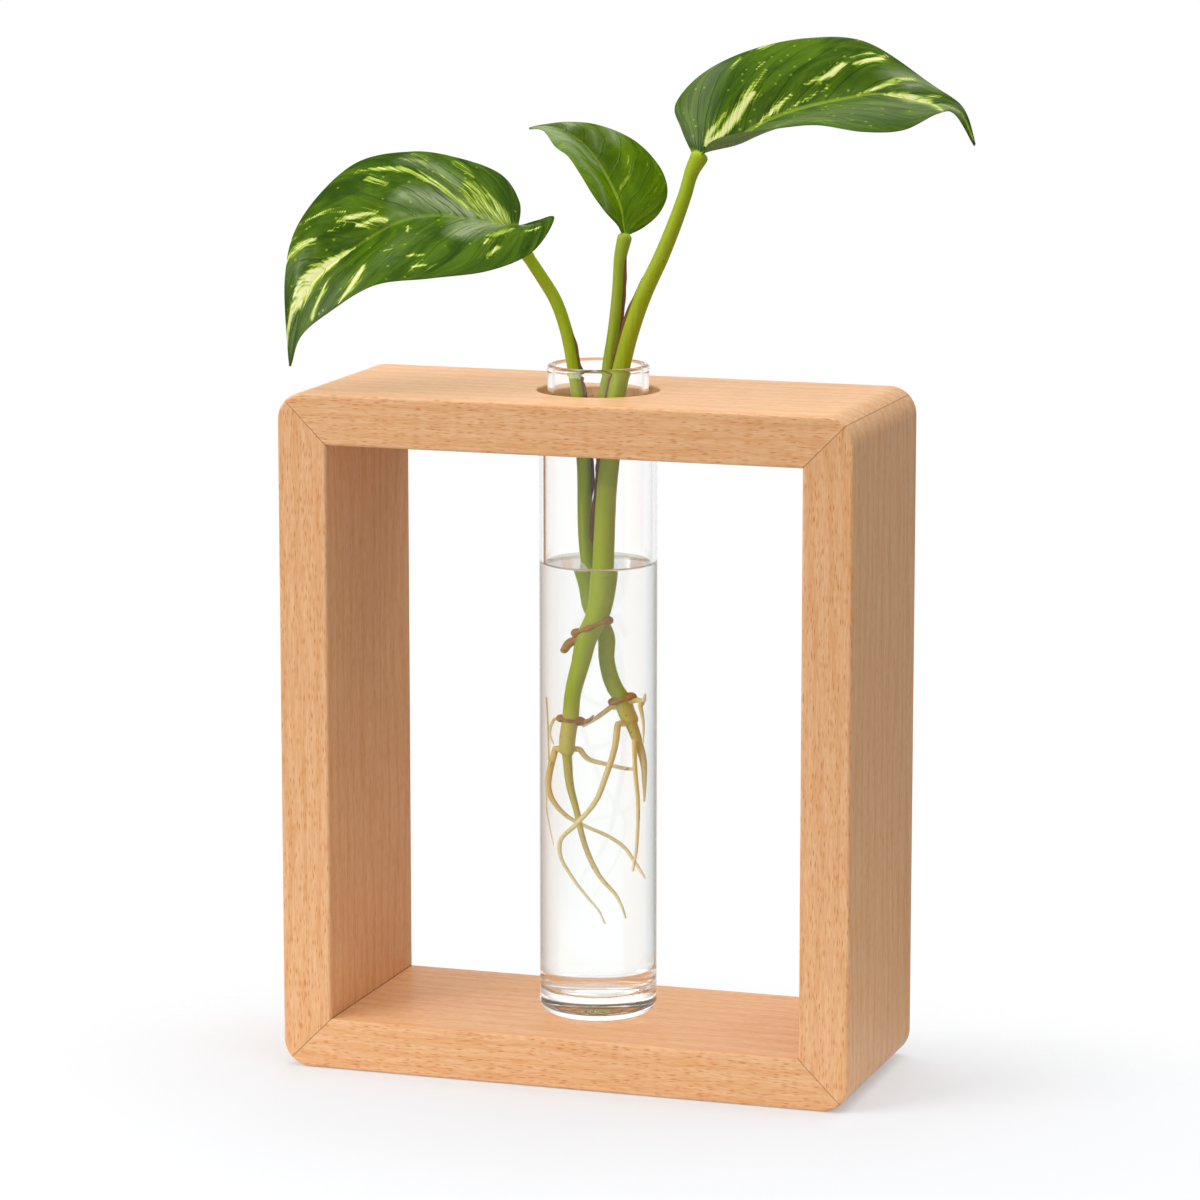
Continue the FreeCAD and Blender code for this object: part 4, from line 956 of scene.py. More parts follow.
@dataclass
class GlassTube:
    """The clear tube and the water in it."""

    glass: bpy.types.Material
    water: bpy.types.Material
    # The water's risen edge, whose tint paints the meniscus line as painted shade.
    edge: bpy.types.Material
    turns: int = 144
    heel: float = 3.5
    foot: float = 6.0
    floor: float = 4.0
    bend_round: float = 3.0
    shoulder_start: float = 149.5
    rim_bead: float = 0.18
    level: float = 116.6
    meniscus: float = 0.8
    meniscus_width: float = 0.5
    underside: tuple[tuple[float, float], ...] = ((0.0, 0.35), (7.0, 0.35), (8.2, 0.05), (9.5, 0.0))
    floor_dip: float = 0.10
    meniscus_steps: tuple[float, ...] = (0.0, 0.02, 0.12, 0.3, 0.55, 0.9, 1.4, 2.0, 3.0, 4.5, 7.0, 10.0)
    overlap: float = 0.04

    def shoulder(self, outer: float, neck: float) -> Section:
        """Draw a shoulder from body to neck, going up.

        Args:
            outer: the body's radius on this face of the glass.
            neck: the neck's radius on this face of the glass.

        Returns:
            (radius, height) points in millimetres.
        """
        centre_out = (TUBE_OUTER - self.bend_round, self.shoulder_start)
        drop = TUBE_OUTER - NECK_OUTER - self.bend_round * (2 - math.sqrt(2))
        top = self.shoulder_start + self.bend_round * math.sqrt(2) + drop
        centre_in = (NECK_OUTER + self.bend_round, top)
        lower = bend(centre_out, outer - centre_out[0], 0, 45, 8)
        upper = bend(centre_in, centre_in[0] - neck, 225, 180, 8)
        return lower + upper

    def glass_profile(self) -> Section:
        """Draw the glass section from the foot's centre, up outside and down inside.

        Returns:
            (radius, height) points in millimetres.
        """
        wall, heel, lip = GLASS_WALL, self.heel, GLASS_WALL / 2
        outside = list(self.underside)
        outside += bend((TUBE_OUTER - heel, heel), heel, -90, 0, 12)
        lowest, highest = self.foot * 2, self.shoulder_start - 1.5
        outside += [(TUBE_OUTER, height) for height in np.linspace(lowest, highest, 9)]
        outside += self.shoulder(TUBE_OUTER, NECK_OUTER)
        outside += [(NECK_OUTER, TUBE_HEIGHT - 3.2), (NECK_OUTER + 0.04, TUBE_HEIGHT - 2.4)]
        bead_centre = (NECK_OUTER - lip, TUBE_HEIGHT - lip - self.rim_bead)
        outside += bend(bead_centre, lip + self.rim_bead, -20, 200, 18)
        inside = self.shoulder(TUBE_OUTER - wall, NECK_BORE)
        inside += [(NECK_BORE, TUBE_HEIGHT - 2.4)]
        down = list(reversed(inside))
        highest, lowest = self.shoulder_start - 2.5, self.foot + self.floor * 2
        down += [(TUBE_OUTER - wall, height) for height in np.linspace(highest, lowest, 9)]
        bore = TUBE_OUTER - wall
        down += bend((bore - self.floor, self.foot + self.floor), self.floor, 0, -90, 12)
        down += [(5.0, self.foot - self.floor_dip / 2), (0.0, self.foot - self.floor_dip)]
        return outside + down

    def water_profile(self) -> Section:
        """Draw the water's section, a hair into the glass so that no air lies between.

        Returns:
            (radius, height) points in millimetres.
        """
        bore = TUBE_OUTER - GLASS_WALL
        spare = self.overlap
        profile = [(0.0, self.foot - self.floor_dip - spare), (5.0, self.foot - self.floor_dip / 2 - spare)]
        profile += bend((bore - self.floor, self.foot + self.floor), self.floor + spare, -90, 0, 12)
        lowest = self.foot + self.floor * 2
        profile += [(bore + spare, height) for height in np.linspace(lowest, self.level - 2.0, 8)]
        profile.append((bore + spare, self.level + self.meniscus - 0.02))
        for inwards in self.meniscus_steps:
            climb = self.meniscus * math.exp(-inwards / self.meniscus_width)
            profile.append((bore + spare - inwards, self.level + climb))
        profile.append((0.0, self.level))
        return profile

    def build(self) -> None:
        """Make the tube and the water."""
        for name, profile, node, finish, slot in (
            ("clear_tube", self.glass_profile(), "glass_tube", self.glass, "clear_glass"),
            ("tube_water", self.water_profile(), "water", self.water, "water"),
        ):
            points, faces = lathe(profile, self.turns)
            points[:, 2] += BOARD_THICK * MM
            piece = new_mesh_object(name, points, faces, finish)
            if node == "water":
                self.dress_edge(piece)
            settle(piece, "tube", [node])

    def dress_edge(self, piece: bpy.types.Object) -> None:
        """Give the water's risen edge at the glass its own finish, whose olive tint is painted shade for the
        dark line that the meniscus shows.

        Args:
            piece: the water.
        """
        piece.data.materials.append(self.edge)
        level = (self.level + BOARD_THICK + self.meniscus * 0.05) * MM
        for face in piece.data.polygons:
            face.material_index = int(face.center.z > level and face.normal.z > 0.02)


@dataclass
class Stand:
    """The four mitred boards and the biscuits that join them, which keep their CAD shapes."""

    figure: bpy.types.NodeTree

    def build(self) -> None:
        """Dress the boards and the biscuits."""
        boards = {
            "top_rail": Grain.ACROSS_THE_FRAME,
            "bottom_rail": Grain.ACROSS_THE_FRAME,
            "left_stile": Grain.UP_THE_FRAME,
            "right_stile": Grain.UP_THE_FRAME,
        }
        for number, (node, grain) in enumerate(boards.items(), 1):
            self.dress(node, BeechFinish(node + "_beech", float(number), grain).build(self.figure))
        pressed = BiscuitFinish().build(self.figure)
        for corner in ("top_left", "top_right", "bottom_left", "bottom_right"):
            self.dress(corner + "_biscuit", pressed)

    def dress(self, node: str, material: bpy.types.Material) -> None:
        """Give a CAD node its finish.

        Args:
            node: the node's name.
            material: its finish.
        """
        piece = frame["nodes"][node]
        for slot in piece.material_slots:
            slot.material = material
        if not piece.material_slots:
            piece.data.materials.append(material)
        LOG.info("%s: dressed in %s", node, material.name)


def skin_tree() -> bpy.types.GeometryNodeTree:
    """Build the geometry nodes that give a centre line its round, slightly uneven skin.

    Returns:
        Their tree.
    """
    tree = bpy.data.node_groups.new("stalk_skin", "GeometryNodeTree")
    tree.is_modifier = True
    nodes = Nodes(tree)
    sockets = {
        "Line": "Geometry",
        "Sides": "Int",
        "Unevenness": "Float",
        "Lumps per Metre": "Float",
        "Finish": "Material",
    }
    for label, kind in sockets.items():
        tree.interface.new_socket(label, in_out="INPUT", socket_type="NodeSocket" + kind)
    tree.interface.new_socket("Skin", in_out="OUTPUT", socket_type="NodeSocketGeometry")
    entry = tree.nodes.new("NodeGroupInput")
    line = nodes.put("GeometryNodeMeshToCurve", None, {"Mesh": entry.outputs["Line"]})
    girth = nodes.put("GeometryNodeInputNamedAttribute", {"data_type": "FLOAT"}, {"Name": "girth"})
    circle = {"Resolution": entry.outputs["Sides"], "Radius": 1.0}
    sweep = {
        "Curve": line.outputs[0],
        "Profile Curve": nodes.result("GeometryNodeCurvePrimitiveCircle", circle),
        "Scale": girth.outputs["Attribute"],
        "Fill Caps": True,
    }
    skin = nodes.result("GeometryNodeCurveToMesh", sweep)
    lumps = nodes.put("ShaderNodeTexNoise", None, {"Scale": entry.outputs["Lumps per Metre"], "Detail": 2.0})
    swing = nodes.times(nodes.minus(lumps.outputs[0], 0.5), entry.outputs["Unevenness"])
    outward = nodes.put("GeometryNodeInputNormal").outputs[0]
    push = nodes.put("ShaderNodeVectorMath", {"operation": "SCALE"}, {0: outward, "Scale": swing})
    moved = nodes.result("GeometryNodeSetPosition", {"Geometry": skin, "Offset": push.outputs[0]})
    smooth = nodes.result("GeometryNodeSetShadeSmooth", {"Geometry": moved})
    real = nodes.result("GeometryNodeRealizeInstances", {"Geometry": smooth})
    last = {"Geometry": real, "Material": entry.outputs["Finish"]}
    painted = nodes.result("GeometryNodeSetMaterial", last)
    leave = tree.nodes.new("NodeGroupOutput")
    tree.links.new(painted, leave.inputs[0])
    return tree


@dataclass
class SkinMaker:
    """Makes stalks, roots and rings from centre lines."""

    tree: bpy.types.GeometryNodeTree

    def make(
        self,
        name: str,
        line: np.ndarray,
        finish: bpy.types.Material,
        sides: int = 24,
        uneven: float = 0.0,
        lumps: float = 300.0,
        closed: bool = False,
    ) -> bpy.types.Object:
        """Make one skin.

        Args:
            name: the piece's name.
            line: rows of place and radius in metres.
            finish: its material.
            sides: corners of its cross-section.
            uneven: how far its skin swings in and out, in metres.
            lumps: how close the swings are.
            closed: whether the line runs back into its start.

        Returns:
            A plain mesh object.
        """
        count = len(line)
        edges = [(step, step + 1) for step in range(count - 1)] + ([(count - 1, 0)] if closed else [])
        mesh = bpy.data.meshes.new(name + "_line")
        mesh.from_pydata([tuple(row[:3]) for row in line], edges, [])
        store(mesh, "girth", line[:, 3])
        store(mesh, "along", np.linspace(0, 1, count))
        carrier = show(name + "_line", mesh)
        modifier = carrier.modifiers.new("skin", "NODES")
        modifier.node_group = self.tree
        values = {"Sides": sides, "Unevenness": uneven, "Lumps per Metre": lumps, "Finish": finish}
        for item in self.tree.interface.items_tree:
            if item.in_out == "INPUT" and item.name in values:
                modifier[item.identifier] = values[item.name]
        carrier.update_tag()
        bpy.context.view_layer.update()
        evaluated = carrier.evaluated_get(bpy.context.evaluated_depsgraph_get())
        result = bpy.data.meshes.new_from_object(evaluated)
        result.name = name
        bpy.data.objects.remove(carrier)
        bpy.data.meshes.remove(mesh)
        return show(name, result)


def stalk_line(rows: Sequence[Row], first: float, last: float, per_row: int = 8) -> np.ndarray:
    """Draw a dense smooth centre line between two spots of a table.

    Args:
        rows: the stalk's share rows.
        first: the spot where it starts, in rows.
        last: the spot where it ends, in rows.
        per_row: how many steps lie between two rows.

    Returns:
        Rows of place and radius in metres.
    """
    spots = np.linspace(first, last, max(int((last - first) * per_row), 6) + 1)
    line = follow(rows, spots)
    line[:, 3] = np.interp(spots, np.arange(len(rows)), vase_rows_radius(rows))
    return line


def vase_rows_radius(rows: Sequence[Row]) -> np.ndarray:
    """Return the radii of a table's rows in metres."""
    return np.array([row[3] for row in rows]) * NECK_BORE * MM


def round_ends(line: np.ndarray, foot: bool, tip: bool) -> np.ndarray:
    """Add small rings that round off one or both ends of a centre line.

    Args:
        line: rows of place and radius in metres.
        foot: whether its first end is rounded.
        tip: whether its last end is rounded.

    Returns:
        The longer line.
    """
    for wanted, end, inner in ((foot, 0, 1), (tip, -1, -2)):
        if not wanted:
            continue
        out = unit(line[end, :3] - line[inner, :3])
        radius = line[end, 3]
        caps = []
        for angle in CAP_ANGLES:
            turn = math.radians(angle)
            place = line[end, :3] + out * radius * math.sin(turn)
            caps.append(np.append(place, radius * math.cos(turn)))
        rows = np.array(caps)
        line = np.vstack([rows[::-1], line]) if end == 0 else np.vstack([line, rows])
    return line


@dataclass
class Cuttings:
    """The stems, leaf stalks, roots, scars and sheath margins of the two cuttings."""

    maker: SkinMaker
    stem: bpy.types.Material
    petiole: bpy.types.Material
    young_petiole: bpy.types.Material
    root: bpy.types.Material
    old_root: bpy.types.Material
    husk: bpy.types.Material
    margin: bpy.types.Material
    seed: int = 7
    reach: float = 4.6
    flare: tuple[tuple[float, float], ...] = ((0.5, 0.96), (1.0, 0.80), (1.35, 0.50))
    flare_rows: int = 12
    flare_girth: float = 1.42
    join_shares: tuple[float, ...] = (0.0, 0.3, 0.6, 0.85)
    join_girth: float = 1.25
    root_sway: float = 0.2
    root_unevenness: float = 0.14
    scar_gap: float = 0.00022
    scar_girth: float = 0.00058
    scar_swell: float = 0.00056
    scar_steps: int = 48
    scar_bumps: int = 13
    ribbon_corners: int = 8
    ribbon_steps: int = 16
    margin_width: float = 0.00055
    margin_thick: float = 0.00014
    margin_forward: float = 0.0003

    def build(self) -> None:
        """Make every piece of the cuttings but the blades."""
        self.build_shoots()
        self.build_roots()
        self.build_scars()
        self.build_sheaths()

    def build_shoots(self) -> None:
        """Make the stems and the leaf stalks."""
        front_end, rear_end = len(FRONT_SHOOT_SHARES) - 1, len(REAR_SHOOT_SHARES) - 1
        middle_end = len(MIDDLE_PETIOLE_SHARES) - 1
        shoots = (
            ("front_stem", FRONT_SHOOT_SHARES, 0, FRONT_SHOOT_NODE + 0.06, self.stem, 0.00012),
            ("right_petiole", FRONT_SHOOT_SHARES, FRONT_SHOOT_NODE, front_end, self.petiole, 0.00006),
            ("rear_stem", REAR_SHOOT_SHARES, 0, REAR_SHOOT_NODE + 0.06, self.stem, 0.00012),
            ("left_petiole", REAR_SHOOT_SHARES, REAR_SHOOT_NODE, rear_end, self.petiole, 0.00006),
            ("middle_petiole", MIDDLE_PETIOLE_SHARES, 0, middle_end, self.young_petiole, 0.00004),
        )
        for node, rows, first, last, finish, uneven in shoots:
            line = stalk_line(rows, first, last)
            if "stem" in node:
                line = round_ends(line, True, False)
            else:
                line = self.into_blade(line)
            piece = self.maker.make(node + "_skin", line, finish, sides=28, uneven=uneven, lumps=180.0)
            settle(piece, "cutting", [node])

    def into_blade(self, line: np.ndarray) -> np.ndarray:
        """Flare a leaf stalk's upper end and run it on into its blade.

        Args:
            line: the stalk's rows of place and radius in metres.

        Returns:
            The longer line.
        """
        line = line.copy()
        line[-self.flare_rows :, 3] *= np.linspace(1.0, self.flare_girth, self.flare_rows)
        ahead = unit(line[-1, :3] - line[-3, :3])
        rows = [np.append(line[-1, :3] + ahead * far * MM, line[-1, 3] * wide) for far, wide in self.flare]
        return np.vstack([line, np.array(rows)])

    def joined(self, line: np.ndarray, anchors: np.ndarray) -> np.ndarray:
        """Run a root's upper end back to the nearest point of what it grows from.

        Args:
            line: the root's rows of place and radius in metres.
            anchors: such rows of all that it can grow from.

        Returns:
            The line, longer if anything is in reach.
        """
        gaps = np.linalg.norm(anchors[:, :3] - line[0, :3], axis=1)
        nearest = anchors[gaps.argmin()]
        if gaps.min() > self.reach * MM:
            return line
        shares = np.array(self.join_shares)[:, None]
        way = nearest[:3] + (line[0, :3] - nearest[:3]) * shares
        girth = np.full(shares.shape, min(line[0, 3] * self.join_girth, nearest[3]))
        return np.vstack([np.hstack([way, girth]), line])

    def build_roots(self) -> None:
        """Make the roots, thin ones with a slight wander."""
        wander = np.random.default_rng(self.seed)
        anchors = np.vstack([
            stalk_line(FRONT_SHOOT_SHARES, 0, FRONT_SHOOT_NODE, 12),
            stalk_line(REAR_SHOOT_SHARES, 0, REAR_SHOOT_NODE, 12),
        ])
        for node, rows in ROOT_SHARES.items():
            line = stalk_line(rows, 0, len(rows) - 1, 10)
            count = len(line)
            if len(rows) > 3:
                bends = max(count // 12, 3)
                sway = glide(wander.normal(0, 1, (bends, 3)), np.linspace(0, bends - 1, count))
                line[:, :3] += sway * line[:, 3:4] * self.root_sway * np.linspace(0, 1, count)[:, None]
            own = line
            line = round_ends(self.joined(line, anchors), False, True)
            anchors = np.vstack([anchors, own])
            finish = self.old_root if rows[0][3] > 0.08 else self.root
            if node == "aerial_root":
                finish = self.husk
            uneven = float(line[:, 3].max()) * self.root_unevenness
            piece = self.maker.make(node + "_skin", line, finish, sides=16, uneven=uneven, lumps=700.0)
            settle(piece, "cutting", [node])

    def build_scars(self) -> None:
        """Make the rings that fallen leaves left, and the bract by the roots."""
        wander = np.random.default_rng(self.seed + 1)
        for node, rows, spot, climb in (
            ("front_node_ring", FRONT_SHOOT_SHARES, ROOT_NODE, 0.0),
            ("rear_node_ring", REAR_SHOOT_SHARES, ROOT_NODE, 0.0),
            ("upper_node_ring", FRONT_SHOOT_SHARES, UPPER_NODE, 0.45),
        ):
            turns = np.linspace(0, math.tau, self.scar_steps, endpoint=False)
            spots = spot + climb * np.cos(turns)
            middle = follow(rows, spots)
            ahead = unit(follow(rows, spots + 0.05)[:, :3] - middle[:, :3])
            side = unit(np.cross(ahead, np.array([0.0, 1.0, 0.0])))
            rear = unit(np.cross(ahead, side))
            reach = middle[:, 3:4] + self.scar_gap
            round_way = rear * np.sin(turns)[:, None] - side * np.cos(turns)[:, None]
            loop = middle[:, :3] + round_way * reach
            swings = wander.normal(0, 1, (self.scar_bumps, 1))
            bumps = glide(swings, np.linspace(0, self.scar_bumps - 1.1, len(turns)))[:, 0].clip(-1.2, 1.2)
            girth = self.scar_girth * (1 + 0.3 * bumps) + self.scar_swell * np.abs(np.cos(turns)) ** 8
            line = np.column_stack([loop, girth])
            piece = self.maker.make(
                node + "_skin", line, self.husk, sides=10, uneven=0.0003, lumps=1500.0, closed=True
            )
            settle(piece, "cutting", [node])
        bract = round_ends(stalk_line(BRACT_SHARES, 0, 2, 8), True, True)
        piece = self.maker.make("node_bract_skin", bract, self.husk, sides=12, uneven=0.0002, lumps=1200.0)
        settle(piece, "cutting", ["node_bract"])

    def build_sheaths(self) -> None:
        """Make the dried sheath margins as thin ragged ribbons along the stalks."""
        for node, rows, side, first, last in (
            ("left_sheath", REAR_SHOOT_SHARES, Side.RIGHT, 9.6, 13.0),
            ("middle_sheath", MIDDLE_PETIOLE_SHARES, Side.RIGHT, 1.2, 6.4),
            ("right_sheath", FRONT_SHOOT_SHARES, Side.LEFT, 7.6, 14.4),
        ):
            points, faces = self.ribbon(rows, side, first, last)
            piece = new_mesh_object(node + "_skin", points, faces, self.margin)
            steps = len(points) // self.ribbon_corners
            store(piece.data, "along", np.repeat(np.linspace(0, 1, steps), self.ribbon_corners))
            settle(piece, "cutting", [node])

    def ribbon(self, rows: Sequence[Row], side: Side, first: float, last: float) -> tuple[np.ndarray, list]:
        """Shape a thin ragged ribbon with a ring of corners at each step of its way.

        Args:
            rows: share rows of the stalk that it lies on.
            side: the stalk's side that it lies on.
            first: the spot where it starts, in rows.
            last: the spot where it ends, in rows.

        Returns:
            Points in metres and faces that look outwards.
        """
        wander = np.random.default_rng(self.seed + len(rows))
        steps = int((last - first) * self.ribbon_steps)
        spots = np.linspace(first, last, steps)
        line = follow(rows, spots)
        ahead = unit(follow(rows, np.minimum(spots + 0.05, len(rows) - 1))[:, :3] - line[:, :3] + 1e-9)
        out = unit(np.cross(np.array([0.0, 1.0, 0.0]), ahead)) * side.value
        flat = unit(np.cross(ahead, out))
        share = np.linspace(0, 1, steps)
        raggedness = glide(wander.normal(0, 1, (steps // 4 + 2, 1)), share * (steps // 4 + 1))[:, 0]
        width = self.margin_width * (1 - 0.45 * share) * (1 + 0.25 * raggedness)
        width *= soft_step(0, 0.04, share) * soft_step(0, 0.12, 1 - share) * 0.9 + 0.1
        middle = line[:, :3] + out * (line[:, 3:4] + width[:, None] * 0.55)
        middle -= np.array([0, self.margin_forward, 0])
        count = self.ribbon_corners
        corners = []
        for turn in np.linspace(0, math.tau, count, endpoint=False):
            aside = out * (width * math.cos(turn))[:, None]
            corners.append(middle + aside + flat * (self.margin_thick * math.sin(turn)))
        points = np.stack(corners, 1).reshape(-1, 3)
        faces: list[tuple[int, ...]] = []
        for step in range(steps - 1):
            low, high = step * count, (step + 1) * count
            for corner in range(count):
                after = (corner + 1) % count
                face = (low + corner, low + after, high + after, high + corner)
                faces.append(face if side is Side.RIGHT else face[::-1])
        end = (steps - 1) * count
        caps = [tuple(range(count - 1, -1, -1)), tuple(range(end, end + count))]
        faces += caps if side is Side.RIGHT else [cap[::-1] for cap in caps]
        return points, faces


@dataclass
class LeafBlade:
    """One leaf blade: a thin cambered sheet with a grooved midrib, swollen between its veins."""

    node: str
    rows: tuple[BladeRow, ...]
    stalk: tuple[Row, ...]
    seat: Point
    length: float
    finish: BladeFinish
    streaks: tuple[Streak, ...]
    # Patches where a sheen of reflected light is painted into the leaf's colour.
    painted_sheens: tuple[Streak, ...]
    lines: int = 180
    columns: int = 97
    thick: float = 0.00034
    swell: float = 0.00008
    groove: float = 0.00028
    groove_width: float = 0.0007
    ripple: float = 0.0004
    margin_share: float = 0.35
    halo: float = 0.36
    halo_width: float = 2.6

    def sheet(self) -> tuple[np.ndarray, np.ndarray, np.ndarray]:
        """Return the blade's middle surface.

        Returns:
            Places (lines, columns, 3), the across share of each column and the along share
            of each line.
        """
        base = vase_rows(self.stalk)[-1, :3] + np.array(self.seat) * self.length * MM
        near = np.array([row[0] for row in self.rows])
        rib = np.array([row[1] for row in self.rows])
        far = np.array([row[2] for row in self.rows])
        lift = unit(np.cross(rib[-1], unit(near - far)))
        lift *= np.where(lift[:, 2:3] < 0, -1, 1)
        near_crown = np.array([row[3] for row in self.rows])[:, None]
        far_crown = np.array([row[4] for row in self.rows])[:, None]
        near_half = (near + rib) / 2 + lift * near_crown
        far_half = (far + rib) / 2 + lift * far_crown
        grid = np.stack([near, near_half, rib, far_half, far], 1)
        along = np.linspace(0, 1, self.lines)
        across = np.linspace(-1, 1, self.columns)
        grid = glide(grid, along * (len(self.rows) - 1))
        grid = glide(np.swapaxes(grid, 0, 1), (across + 1) * 2)
        return np.swapaxes(grid, 0, 1) * self.length * MM + base, across, along

    def widths(self, sheet: np.ndarray) -> np.ndarray:
        """Measure the way over the blade from its middle column to every point.

        Args:
            sheet: places on the middle surface.

        Returns:
            The way in metres, less than 0 on the near half.
        """
        steps = np.linalg.norm(np.diff(sheet, axis=1), axis=2)
        way = np.concatenate([np.zeros((len(sheet), 1)), np.cumsum(steps, axis=1)], axis=1)
        return way - way[:, self.columns // 2][:, None]

    def marks(self, streaks: Sequence[Streak], widths: np.ndarray, along: np.ndarray) -> np.ndarray:
        """Lay streaks on the blade.

        Args:
            streaks: the table of the streaks.
            widths: the way from the middle column to each point.
            along: the along share of each line.

        Returns:
            How strongly each point is marked.
        """
        flat = np.stack([widths, np.broadcast_to(along[:, None] * self.length * MM, widths.shape)], 2)
        pale = np.zeros(widths.shape)
        for strength, *way in streaks:
            table = np.array(way)
            rows = np.clip((table[:, 1] * (self.lines - 1)).astype(int), 0, self.lines - 1)
            sides = np.clip(((table[:, 0] + 1) / 2 * (self.columns - 1)).astype(int), 0, self.columns - 1)
            spots = flat[rows, sides]
            size = table[:, 2] * MM
            for start, end, thin, wide in zip(spots[:-1], spots[1:], size[:-1], size[1:]):
                run = end - start
                part = np.clip(((flat - start) @ run) / max(run @ run, 1e-12), 0, 1)
                gap = np.linalg.norm(flat - start - part[..., None] * run, axis=2)
                limit = thin + (wide - thin) * part
                halo = self.halo * soft_step(self.halo_width * MM, 0.0, gap - limit)
                mark = np.maximum(soft_step(1.7, 0.1, gap / limit), halo) * strength
                pale = np.maximum(pale, mark)
        return pale

    def skins(
        self, sheet: np.ndarray, across: np.ndarray, along: np.ndarray
    ) -> tuple[np.ndarray, np.ndarray]:
        """Return the upper and the lower skin round the middle surface.

        Args:
            sheet: places on the middle surface.
            across: the across share of each column.
            along: the along share of each line.

        Returns:
            The upper and the lower skin.
        """
        widths = self.widths(sheet)
        along = along[:, None]
        normal = unit(np.cross(np.gradient(sheet, axis=0), np.gradient(sheet, axis=1)))
        if normal[..., 2].mean() < 0:
            normal = -normal
        off = np.abs(across - self.finish.rib)[None, :]
        turn = (along - self.finish.lean * (VEIN_SWEEP - along) * off**VEIN_BEND) * self.finish.veins
        peak = np.abs(turn % 1.0 - 0.5) * 2
        edge = soft_step(1.0, 0.8, off) * soft_step(0.0, 0.06, along) * soft_step(1.0, 0.9, along)
        height = self.swell * (1 - peak**2) * edge * soft_step(0.0, 0.15, off)
        height = height + self.ripple * np.sin(along * 23.0 + self.finish.seed) * off**3 * edge
        rib = widths[:, int((self.finish.rib + 1) / 2 * (self.columns - 1))][:, None]
        groove = np.exp(-(((widths - rib) / self.groove_width) ** 2))
        groove = groove * soft_step(1.02, 0.7, along) * self.groove
        body = soft_step(1.0, 0.9, off) * soft_step(1.0, 0.97, along)
        half = self.thick * (self.margin_share + (1 - self.margin_share) * body) / 2
        upper = sheet + normal * (half + height - groove)[..., None]
        lower = sheet - normal * (half - height + groove * 1.6)[..., None]
        return upper, lower

    def faces(self) -> np.ndarray:
        """Close the two skins into one blade.

        Returns:
            The corners of each face of the upper skin, the lower skin and the rim.
        """
        lines, columns = self.lines, self.columns
        count = lines * columns
        number = np.arange(count).reshape(lines, columns)
        corners = [number[:-1, :-1], number[:-1, 1:], number[1:, 1:], number[1:, :-1]]
        quads = np.stack(corners, -1).reshape(-1, 4)
        rim = np.concatenate([number[0, :], number[1:, -1], number[-1, -2::-1], number[-2:0:-1, 0]])
        after = np.roll(rim, -1)
        border = np.stack([rim, after, after + count, rim + count], -1)
        return np.concatenate([quads[:, ::-1], quads + count, border])

    def build(self, figure: bpy.types.NodeTree, specks: bpy.types.NodeTree) -> None:
        """Make the blade with its map and its marks.

        Args:
            figure: the leaf figure's group.
            specks: the speck group.
        """
        sheet, across, along = self.sheet()
        upper, lower = self.skins(sheet, across, along)
        points = np.concatenate([upper.reshape(-1, 3), lower.reshape(-1, 3)])
        finish = self.finish.build(figure, specks)
        piece = new_mesh_object(self.node + "_blade", points, self.faces().tolist(), finish)
        mesh = piece.data
        spots = np.stack(np.broadcast_arrays((across[None, :] + 1) / 2, along[:, None]), -1).reshape(-1, 2)
        corners = np.empty(len(mesh.loops), int)
        mesh.loops.foreach_get("vertex_index", corners)
        chart = mesh.uv_layers.new(name="blade").data
        chart.foreach_set("uv", np.concatenate([spots, spots])[corners].ravel())
        widths = self.widths(sheet)
        pale = self.marks(self.streaks, widths, along).ravel()
        # Painted highlight: the sheen marks, on both skins, where the finish paints reflected light.
        painted_sheen = self.marks(self.painted_sheens, widths, along).ravel()
        store(mesh, "pale", np.concatenate([pale, pale * 0.6]))
        store(mesh, "painted_sheen", np.concatenate([painted_sheen, painted_sheen]))
        store(mesh, "top", np.repeat([1.0, 0.0], len(spots)))
        settle(piece, "cutting", [self.node])


